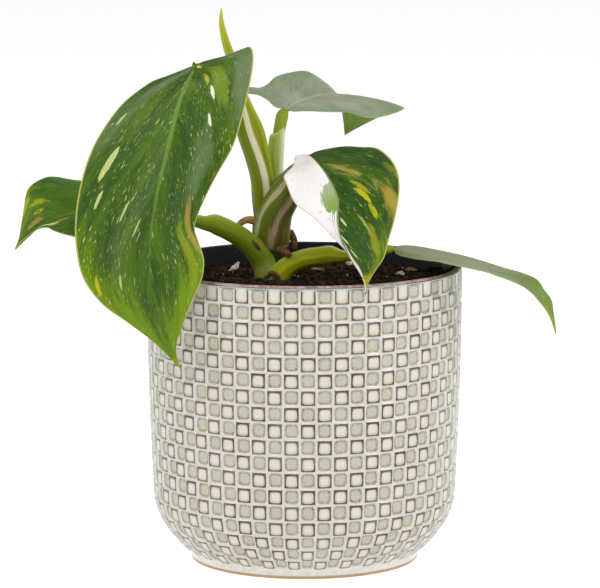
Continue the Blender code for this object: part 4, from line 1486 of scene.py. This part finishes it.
# %% Leaf finishes
LEAF_DEEP = (0.019, 0.053, 0.006)
LEAF_FRESH = (0.043, 0.102, 0.002)
LEAF_LIME = (0.132, 0.228, 0.001)
LEAF_GOLD = (0.38, 0.35, 0.006)
LEAF_AMBER = (0.34, 0.235, 0.035)
LEAF_PALE = (0.40, 0.46, 0.15)
LEAF_WHITE = (0.94, 0.905, 0.90)
LEAF_MARGIN = (0.46, 0.44, 0.12)
LEAF_BACK = (0.105, 0.20, 0.045)
MARGIN_START = 0.976  # where the thin coloured margin starts, from 0 at the midrib to 1
VEIN_LEAN = 0.42  # how far a side vein runs tipwards on its way to the margin, in leaf lengths


class LeafFinish(Finish):
    """A leaf skin: u runs from base to tip, v from -1 at the right margin to 1 at the left."""

    def __init__(self, name, roughness=0.36, specular=0.18):
        super().__init__(name, roughness=roughness, specular=specular)
        self.u, chart_v = self.chart()
        self.v = self.math("MULTIPLY_ADD", chart_v, 2.0)
        self.v.node.inputs[2].default_value = -1.0
        self.out = self.math("ABSOLUTE", self.v)
        self.vein = self.math("SUBTRACT", self.u, self.times(self.out, VEIN_LEAN))
        self.place = self.here()
        self.colour = None

    def streaks(self, over, along, seed, detail=3.0, roughness=0.6):
        """Noise drawn out along the side veins: over counts across them, along lengthwise."""
        where = self.spot_on(self.times(self.vein, over), self.times(self.v, along), seed)
        return self.noise(where, 1.0, detail, roughness)

    def lay(self, share, colour):
        self.colour = self.mix(share, self.colour, colour)

    def patch(self, u, v, across, along, colour, strength=1.0, ragged=0.5, soft=0.15):
        """A ragged patch that lies along a side vein, its middle at u, v."""
        middle = u - VEIN_LEAN * abs(v)
        over = self.times(self.math("SUBTRACT", self.vein, middle), 1 / across)
        down = self.times(self.math("SUBTRACT", self.v, v), 1 / along)
        away = self.math("ADD", self.times(over, over), self.times(down, down))
        rag = self.math("SUBTRACT", self.streaks(1.5 / across, 1.3 / along, u * 31 + v * 17, 5.0, 0.75), 0.5)
        away = self.math("ADD", away, self.times(rag, 7.0 * ragged))
        self.lay(self.times(self.grade(away, 1.0 + soft, 1.0 - soft), strength), colour)

    def done(self, vein_count=15, bump=0.00035):
        waves = self.math("SINE", self.times(self.vein, math.pi * 2 * vein_count))
        fine = self.streaks(200.0, 5.0, 4.0, 2.0)
        cells = self.noise(self.place, 1500.0, 2.0)
        height = self.math("ADD", self.times(fine, 0.55), self.times(cells, 0.18))
        height = self.math("ADD", height, self.times(waves, 0.05))
        self.bump(height, bump)
        self.set("Base Color", self.colour)
        smoothest = self.shader.inputs["Roughness"].default_value - 0.04
        self.set("Roughness", self.math("ADD", smoothest, self.times(fine, 0.10)))
        return self


def green_base(skin, seed, deep=LEAF_DEEP, fresh=LEAF_FRESH, lime_from=0.55, lime=LEAF_LIME, zones=0.8):
    """The green of a leaf: mottled along the veins, limier towards the tip and the margins."""
    mottle = skin.streaks(13.0, 2.6, seed, 4.0)
    skin.colour = skin.mix(skin.grade(mottle, 0.34, 0.66), deep, fresh)
    zone = skin.streaks(4.5, 1.4, seed + 7, 3.0)
    skin.lay(skin.times(skin.grade(zone, 0.47, 0.66), zones), (0.072, 0.138, 0.001))
    skin.lay(skin.times(skin.grade(zone, 0.44, 0.32), zones), (0.028, 0.064, 0.017))
    grain = skin.streaks(150.0, 14.0, seed + 1, 3.0)
    skin.lay(skin.times(skin.grade(grain, 0.45, 0.70), 0.35), skin.mix(0.5, fresh, lime))
    lime_map = skin.math("ADD", skin.u, skin.times(skin.math("SUBTRACT", mottle, 0.5), 0.55))
    lime_map = skin.math("ADD", lime_map, skin.times(skin.grade(skin.out, 0.25, 1.0), 0.26))
    skin.lay(skin.times(skin.grade(lime_map, lime_from + 0.22, lime_from + 0.55), 0.9), lime)


def flecks(skin, seed, amount, colour=LEAF_PALE, strength=0.8, over=120.0, along=22.0):
    """Many small pale streaks along the side veins."""
    where = skin.streaks(over, along, seed, 1.5, 0.5)
    room = skin.grade(skin.streaks(6.0, 3.0, seed + 3, 2.0), 0.34, 0.58)
    skin.lay(skin.times(skin.grade(where, 0.72 - amount, 0.76 - amount), room, strength), colour)


def midrib_and_margin(skin, rib=(0.12, 0.22, 0.035), rib_width=0.040, margin=LEAF_MARGIN):
    """A pale midrib that narrows towards the tip, and a thin coloured margin."""
    thin = skin.math("MULTIPLY_ADD", skin.u, -0.9 * rib_width)
    thin.node.inputs[2].default_value = rib_width
    near = skin.math("SUBTRACT", skin.out, thin)
    fade = skin.grade(skin.u, 1.0, 0.35)
    skin.lay(skin.times(skin.grade(near, 0.014, -0.012), fade, 0.8), rib)
    skin.lay(skin.times(skin.grade(skin.out, MARGIN_START, MARGIN_START + 0.012), 0.85), margin)


def leaf_back(name, green=LEAF_BACK, seed=2.0):
    """The paler lower skin, with its side veins showing."""
    back = LeafFinish(name, roughness=0.5)
    mottle = back.streaks(14.0, 2.0, seed, 4.0)
    back.colour = back.mix(back.grade(mottle, 0.35, 0.65), green, (0.15, 0.26, 0.05))
    veins = back.grade(back.math("SINE", back.times(back.vein, math.pi * 30)), 0.90, 0.99)
    back.lay(back.times(veins, 0.45), (0.24, 0.34, 0.11))
    back.lay(back.times(back.grade(back.u, 0.6, 1.1), 0.7), LEAF_LIME)
    midrib_and_margin(back, rib=(0.28, 0.38, 0.12), rib_width=0.045)
    return back.done(bump=0.0005)


print("leaf colours ready")

# %% [markdown]
# ## The five leaves
# The points below follow the real blades: a midrib, then each margin from the base round the lobe to
# the tip. The big front leaf hangs towards the viewer, the left one lies in its shadow, the back one
# stands out level behind, the right one is half white, and the low one reaches far over the rim.

# %% Front leaf


def front_skin():
    skin = LeafFinish("front_leaf_skin")
    green_base(skin, 1.0)
    flecks(skin, 5.0, 0.075, LEAF_PALE, 0.75)
    flecks(skin, 8.0, 0.035, (0.55, 0.60, 0.34), 0.9, over=75.0, along=14.0)
    flecks(skin, 9.0, 0.07, LEAF_LIME, 0.6, over=60.0, along=10.0)
    # The first five patches are painted sheen: grey-green patches that stand in for the soft boxes mirrored
    # in the upper skin.
    painted_sheen = (0.17, 0.21, 0.125)
    for row in (
        (0.060, 0.42, 0.055, 0.30, painted_sheen, 0.60, 0.35, 0.9),
        (0.250, 0.80, 0.090, 0.25, painted_sheen, 0.25, 0.5, 1.0),
        (0.230, -0.90, 0.110, 0.16, painted_sheen, 0.50, 0.5, 1.0),
        (0.470, -0.60, 0.090, 0.18, painted_sheen, 0.35, 0.5, 1.0),
        (0.580, 0.30, 0.080, 0.30, painted_sheen, 0.12, 0.5, 1.0),
        (0.190, -0.33, 0.014, 0.05, LEAF_GOLD, 0.7, 0.6, 0.5),
        (0.220, -0.55, 0.050, 0.18, (0.16, 0.23, 0.012), 0.7, 0.5, 0.7),
        (0.250, -0.47, 0.012, 0.05, (0.66, 0.70, 0.50), 0.9, 0.5),
        (0.338, -0.53, 0.010, 0.04, (0.66, 0.70, 0.50), 0.9, 0.5),
        (0.412, 0.72, 0.026, 0.075, LEAF_PALE, 1.0, 0.30, 0.06),
        (0.506, 0.75, 0.014, 0.040, LEAF_PALE, 0.95, 0.4, 0.08),
        (0.281, 0.82, 0.012, 0.030, LEAF_PALE, 0.9, 0.4, 0.08),
        (0.560, 0.40, 0.008, 0.050, LEAF_PALE, 0.9, 0.4, 0.1),
        (0.620, 0.22, 0.007, 0.050, LEAF_PALE, 0.9, 0.4, 0.1),
        (0.735, 0.55, 0.008, 0.040, LEAF_PALE, 0.9, 0.4, 0.1),
        (0.720, -0.76, 0.045, 0.17, (0.20, 0.25, 0.002), 0.75, 0.6, 0.8),
        (0.640, -0.84, 0.026, 0.16, LEAF_AMBER, 0.70, 0.5, 0.8),
        (0.713, 0.88, 0.014, 0.05, LEAF_GOLD, 0.9, 0.5, 0.3),
    ):
        skin.patch(*row)
    skin.lay(skin.times(skin.grade(skin.u, 0.955, 1.0), 0.8), LEAF_GOLD)
    midrib_and_margin(skin, rib_width=0.042)
    return skin.done()


leaf(
    "front_leaf", "leaf_front", "leaf",
    [(-47, -38, 92), (-50, -46, 86), (-54, -52, 76), (-59, -59, 55), (-63, -62, 38)]
    + [(-66, -65, 16), (-65, -67, -6), (-60, -68, -24), (-53, -68, -36)],
    [(-47, -38, 92), (-51, -33, 90), (-59, -34, 87), (-67, -37, 84), (-78, -44, 76)]
    + [(-86, -50, 66), (-92, -54, 55), (-96, -57, 42), (-98, -59, 29), (-98, -61, 17)]
    + [(-95, -63, 3), (-87, -65, -8), (-76, -66, -16), (-64, -67, -25), (-53, -68, -36)],
    [(-47, -38, 92), (-43, -32, 93), (-34, -29, 95), (-27, -30, 98), (-23, -33, 99)]
    + [(-22, -37, 93), (-24, -41, 81), (-27, -45, 69), (-31, -48, 57), (-38, -52, 45)]
    + [(-44, -55, 33), (-47, -57, 24), (-45, -59, 17), (-43, -61, 10), (-44, -63, 2)]
    + [(-48, -65, -7), (-52, -67, -17), (-55, -68, -27), (-53, -68, -36)],
    0.05, (0, -1, 0.3), [front_skin(), leaf_back("front_leaf_back")], seed=1.0,
)

# %% [markdown]
# ## The left leaf
# This young blade lies over the rim and tilts to the front. It starts from lighter greens than the
# front leaf: painted light that makes up for the front leaf's shadow on it. It has gold and amber
# spots and one pale patch near its tip.

# %% Left leaf


def left_skin():
    skin = LeafFinish("left_leaf_skin", roughness=0.40, specular=0.18)
    # Lighter greens than the front leaf's: painted light against the front leaf's shadow.
    green_base(skin, 11.0, (0.026, 0.080, 0.010), (0.060, 0.150, 0.006), lime_from=0.62)
    flecks(skin, 15.0, 0.08, LEAF_LIME, 0.7, over=50.0, along=8.0)
    for row in (
        (0.80, -0.93, 0.06, 0.14, LEAF_GOLD, 0.8, 0.6, 0.4),
        (0.725, -0.35, 0.026, 0.06, LEAF_GOLD, 0.9, 0.1, 0.2),
        (0.725, -0.35, 0.013, 0.03, LEAF_FRESH, 0.9, 0.1, 0.2),
        (0.787, -0.20, 0.05, 0.10, LEAF_AMBER, 0.85, 0.5, 0.4),
        (0.70, -0.55, 0.03, 0.12, LEAF_GOLD, 0.7, 0.8, 0.5),
        (0.619, 0.28, 0.035, 0.12, LEAF_AMBER, 0.75, 0.6, 0.5),
        (0.719, 0.55, 0.04, 0.16, (0.66, 0.68, 0.46), 0.85, 0.5, 0.3),
    ):
        skin.patch(*row)
    skin.lay(skin.times(skin.grade(skin.u, 0.97, 1.0), 0.8), LEAF_AMBER)
    midrib_and_margin(skin, rib_width=0.045)
    return skin.done(vein_count=11)


leaf(
    "left_leaf", "leaf_left", "leaf",
    [(-82, -12, 30), (-92, -14, 28), (-100, -16, 25), (-108, -18, 23), (-115, -19, 20)]
    + [(-120, -20, 16), (-127, -20, 9)],
    [(-82, -12, 30), (-76, -24, 24), (-84, -36, 17), (-92, -40, 15), (-99, -39, 17)]
    + [(-105, -36, 18), (-109, -33, 19), (-112, -30, 20), (-116, -27, 19)]
    + [(-119, -24, 17), (-124, -22, 13), (-127, -20, 9)],
    [(-82, -12, 30), (-76, -4, 34), (-84, 5, 37), (-93, 9, 36), (-100, 10, 36)]
    + [(-106, 10, 37), (-110, 8, 38), (-115, 4, 38), (-121, -2, 35), (-123, -7, 31)]
    + [(-124, -13, 23), (-125, -18, 15), (-127, -20, 9)],
    0.04, (0, -0.3, 1), [left_skin(), leaf_back("left_leaf_back", seed=21.0)],
    quilts=11, waves=0.4, seed=4.0,
)

# %% [markdown]
# ## The back leaf
# This blade lies level and faces the bright sky, so its upper skin mirrors the light as a grey-green
# sheen. That sheen is painted: the finish starts from greyed greens, lays pale grey streaks and
# clouds over them, and then the greener margin.

# %% Back leaf


def back_skin():
    skin = LeafFinish("back_leaf_skin", roughness=0.42, specular=0.6)
    # Painted sheen: the greyed greens, the pale grey streaks and the pale clouds stand in for the light that
    # the level upper skin mirrors.
    green_base(skin, 31.0, (0.18, 0.21, 0.135), (0.25, 0.285, 0.175), lime_from=0.80, zones=0.12)
    fine = skin.streaks(60.0, 2.0, 33.0, 2.0)
    skin.lay(skin.times(skin.grade(fine, 0.50, 0.68), 0.45), (0.34, 0.39, 0.27))
    cloud = skin.grade(skin.noise(skin.place, 38.0, 3.0), 0.45, 0.62)
    skin.lay(skin.times(cloud, 0.6), (0.35, 0.34, 0.28))
    outer = skin.grade(skin.out, 0.45, 1.0)
    skin.lay(skin.times(outer, 0.55), (0.13, 0.21, 0.09))
    skin.patch(0.388, 0.40, 0.010, 0.018, (0.10, 0.04, 0.02), 0.9, 0.2)
    skin.lay(skin.times(skin.grade(skin.u, 0.97, 1.0), 0.8), LEAF_AMBER)
    midrib_and_margin(skin, rib=(0.33, 0.40, 0.20), margin=(0.25, 0.34, 0.08))
    return skin.done(vein_count=14)


leaf(
    "back_leaf", "leaf_back", "leaf",
    [(-8, 18, 67), (-3, 30, 69), (3, 42, 70), (11, 58, 70), (16, 74, 67), (18, 90, 61)]
    + [(19, 99, 53), (19, 104, 46)],
    [(-8, 18, 67), (-13, 18, 68), (-17, 22, 71), (-22, 27, 73), (-26, 31, 73)]
    + [(-25, 37, 75), (-21, 42, 74), (-17, 48, 75), (-13, 55, 78), (-7, 64, 79)]
    + [(1, 72, 79), (7, 79, 75), (12, 86, 69), (17, 93, 61), (19, 104, 46)],
    [(-8, 18, 67), (-5, 18, 66), (2, 20, 66), (11, 25, 65), (20, 31, 64), (29, 38, 61)]
    + [(37, 47, 61), (43, 55, 62), (46, 64, 63), (43, 74, 62), (39, 83, 59)]
    + [(33, 91, 55), (25, 99, 50), (19, 104, 46)],
    0.04, (0, 0, 1), [back_skin(), leaf_back("back_leaf_back", (0.22, 0.33, 0.06), 22.0)],
    quilts=14, waves=0.4, seed=7.0,
)

# %% [markdown]
# ## The right leaf
# One half of this blade has no green. The border runs along the midrib, so the white is laid where v
# is above zero. A jade patch with torn edges crosses into the white, and ragged patches of gold and
# amber lie on the green half.

# %% Right leaf


def right_skin():
    skin = LeafFinish("right_leaf_skin", roughness=0.38, specular=0.2)
    green_base(skin, 41.0, (0.011, 0.040, 0.006), (0.024, 0.072, 0.002), lime_from=0.66, zones=0.5)
    flecks(skin, 47.0, 0.08, (0.22, 0.30, 0.01), 0.7, over=45.0, along=9.0)
    flecks(skin, 48.0, 0.06, LEAF_PALE, 0.7, over=70.0, along=12.0)
    sector = skin.times(skin.band(skin.vein, 0.165, 0.225, 0.03), skin.grade(skin.out, 0.06, 0.2))
    torn = skin.grade(skin.streaks(30.0, 5.0, 44.0, 4.0), 0.42, 0.58)
    skin.lay(skin.times(sector, torn, 0.8), (0.20, 0.21, 0.035))
    for row in (
        (0.27, -0.27, 0.030, 0.10, (0.26, 0.24, 0.06), 0.8, 0.5, 0.6),
        (0.33, -0.36, 0.020, 0.12, (0.36, 0.25, 0.06), 0.8, 0.6, 0.4),
        (0.45, -0.40, 0.020, 0.12, (0.33, 0.30, 0.02), 0.8, 0.6, 0.5),
        (0.50, -0.42, 0.018, 0.12, (0.42, 0.42, 0.004), 0.9, 0.6, 0.3),
        (0.60, -0.60, 0.020, 0.09, (0.34, 0.38, 0.004), 0.9, 0.7, 0.4),
        (0.60, -0.92, 0.060, 0.20, (0.26, 0.24, 0.02), 0.70, 0.9, 0.8),
        (0.56, -0.86, 0.034, 0.12, LEAF_AMBER, 0.7, 0.9, 0.8),
        (0.44, -0.95, 0.030, 0.08, (0.24, 0.23, 0.02), 0.6, 0.9, 0.7),
        (0.66, -0.48, 0.010, 0.14, (0.30, 0.33, 0.05), 0.8, 0.7, 0.5),
        (0.75, -0.70, 0.040, 0.14, (0.28, 0.29, 0.01), 0.65, 0.9, 0.8),
        (0.631, -0.10, 0.010, 0.05, (0.50, 0.55, 0.24), 0.85, 0.4),
        (0.725, -0.07, 0.010, 0.05, (0.50, 0.55, 0.24), 0.85, 0.4),
        (0.80, -0.16, 0.009, 0.06, (0.50, 0.55, 0.24), 0.85, 0.4),
    ):
        skin.patch(*row)
    blush = skin.grade(skin.noise(skin.place, 45.0, 3.0), 0.4, 0.7)
    white = skin.mix(skin.times(blush, 0.4), LEAF_WHITE, (0.95, 0.88, 0.86))
    base_blush = skin.times(skin.grade(skin.u, 0.26, 0.05), 0.35)
    white = skin.mix(base_blush, white, (0.74, 0.58, 0.52))
    dots = skin.grade(skin.noise(skin.place, 520.0, 1.0), 0.70, 0.74)
    white = skin.mix(skin.times(dots, 0.45), white, (0.48, 0.28, 0.18))
    edge = skin.grade(skin.v, 0.0, 0.012)
    skin.lay(edge, white)
    ragged = skin.times(skin.math("SUBTRACT", skin.streaks(26.0, 4.0, 51.0, 4.0), 0.5), 1.3)
    over = skin.times(skin.math("SUBTRACT", skin.u, 0.475), 1 / 0.125)
    down = skin.times(skin.v, 1 / 0.52)
    away = skin.math("ADD", skin.times(over, over), skin.times(down, down))
    teeth = skin.grade(skin.u, 0.48, 0.58)
    away = skin.math("ADD", away, skin.times(ragged, skin.math("ADD", 0.8, skin.times(teeth, 4.0))))
    jade = skin.mix(skin.grade(skin.u, 0.38, 0.50), (0.36, 0.47, 0.26), (0.25, 0.38, 0.06))
    skin.lay(skin.times(edge, skin.grade(away, 1.03, 0.97)), jade)
    skin.lay(skin.times(skin.grade(skin.u, 0.975, 1.0), 0.95), (0.10, 0.03, 0.012))
    skin.lay(skin.times(skin.band(skin.u, 0.93, 0.965, 0.03), 0.6), (0.42, 0.36, 0.01))
    near = skin.math("ABSOLUTE", skin.math("ADD", skin.v, 0.012))
    rib = skin.times(skin.grade(near, 0.016, 0.006), skin.grade(skin.u, 0.85, 0.6), 0.45)
    skin.lay(rib, (0.40, 0.48, 0.22))
    skin.lay(skin.times(skin.grade(skin.v, 0.95, 0.99), 0.6), (0.72, 0.50, 0.38))
    skin.lay(skin.times(skin.grade(skin.v, -0.970, -0.988), 0.9), LEAF_MARGIN)
    return skin.done(vein_count=13)


def right_back():
    back = LeafFinish("right_leaf_back", roughness=0.5)
    mottle = back.streaks(20.0, 2.0, 52.0, 4.0)
    back.colour = back.mix(back.grade(mottle, 0.35, 0.65), LEAF_BACK, (0.20, 0.30, 0.06))
    back.lay(back.grade(back.v, 0.0, 0.02), (0.78, 0.72, 0.66))
    midrib_and_margin(back, rib=(0.45, 0.50, 0.28), rib_width=0.045)
    return back.done(bump=0.0005)


leaf(
    "right_leaf", "leaf_right", "leaf_variegated",
    [(2, -14, 50), (5, -20, 48), (10, -28, 42), (14, -38, 34), (14, -46, 27)]
    + [(15, -53, 20), (19, -60, 12), (24, -67, 5), (26, -71, 1), (26, -73, -3)],
    [(2, -14, 50), (-1, -11, 50), (-4, -10, 49), (-5, -11, 45), (-9, -14, 41)]
    + [(-8, -18, 38), (-4, -26, 30), (4, -35, 25), (11, -44, 19), (18, -54, 13)]
    + [(23, -63, 8), (25, -69, 3), (26, -73, -3)],
    [(2, -14, 50), (5, -8, 51), (11, -5, 52), (18, -5, 53), (25, -8, 53)]
    + [(32, -14, 53), (38, -22, 49), (41, -30, 43), (41, -38, 35), (39, -47, 26)]
    + [(36, -54, 17), (34, -60, 11), (30, -66, 6), (27, -70, 1), (26, -73, -3)],
    0.05, (0, -0.7, 0.7), [right_skin(), right_back()], quilts=13, waves=0.4, seed=9.0,
)

# %% [markdown]
# ## The low leaf
# The low blade reaches far over the rim and bends down at its end. It faces the sky like the back
# leaf, so its greyed greens and pale streaks are painted sheen too, and it turns greener where it bends.

# %% Low right leaf


def low_skin():
    skin = LeafFinish("low_leaf_skin", roughness=0.40, specular=0.5)
    # Painted sheen: greyed greens and pale streaks stand in for the light that the upper skin mirrors.
    green_base(
        skin, 61.0, (0.155, 0.205, 0.085), (0.21, 0.265, 0.095),
        lime_from=0.46, lime=(0.20, 0.27, 0.006), zones=0.1,
    )
    fine = skin.streaks(70.0, 2.0, 63.0, 2.0)
    skin.lay(skin.times(skin.grade(fine, 0.50, 0.68), 0.45), (0.34, 0.39, 0.22))
    near_stalk = skin.times(skin.grade(skin.u, 0.42, 0.22), skin.grade(skin.v, 0.10, 0.50))
    skin.lay(near_stalk, (0.13, 0.18, 0.008))
    green_end = skin.times(skin.grade(skin.u, 0.55, 0.80), skin.grade(skin.v, 0.6, -0.2))
    skin.lay(skin.times(green_end, 0.6), (0.095, 0.19, 0.015))
    skin.lay(skin.times(skin.grade(skin.u, 0.975, 1.0), 0.8), LEAF_AMBER)
    midrib_and_margin(skin, rib=(0.30, 0.36, 0.14), rib_width=0.04)
    return skin.done(vein_count=13)


leaf(
    "low_leaf", "leaf_low_right", "leaf",
    [(39, -10, 8), (55, -16, 6), (70, -22, 4), (83, -26, 0), (92, -28, -3)]
    + [(99, -29, -8), (105, -30, -13), (109, -30, -20), (110, -30, -27)],
    [(39, -10, 8), (41, -22, 7), (47, -33, 7), (56, -42, 7), (64, -46, 6)]
    + [(70, -47, 5), (78, -46, 3), (85, -43, 0), (92, -40, -3), (98, -36, -7)]
    + [(103, -33, -13), (107, -31, -19), (110, -30, -27)],
    [(39, -10, 8), (42, 0, 8), (48, 8, 7), (58, 11, 5), (69, 8, 3), (80, 0, 1)]
    + [(89, -8, -1), (96, -15, -2), (102, -21, -4), (105, -25, -8), (108, -28, -12)]
    + [(109, -29, -18), (110, -30, -27)],
    0.02, (0, 0, 1), [low_skin(), leaf_back("low_leaf_back", (0.16, 0.28, 0.03), 23.0)],
    quilts=13, waves=0.3, seed=12.0,
)
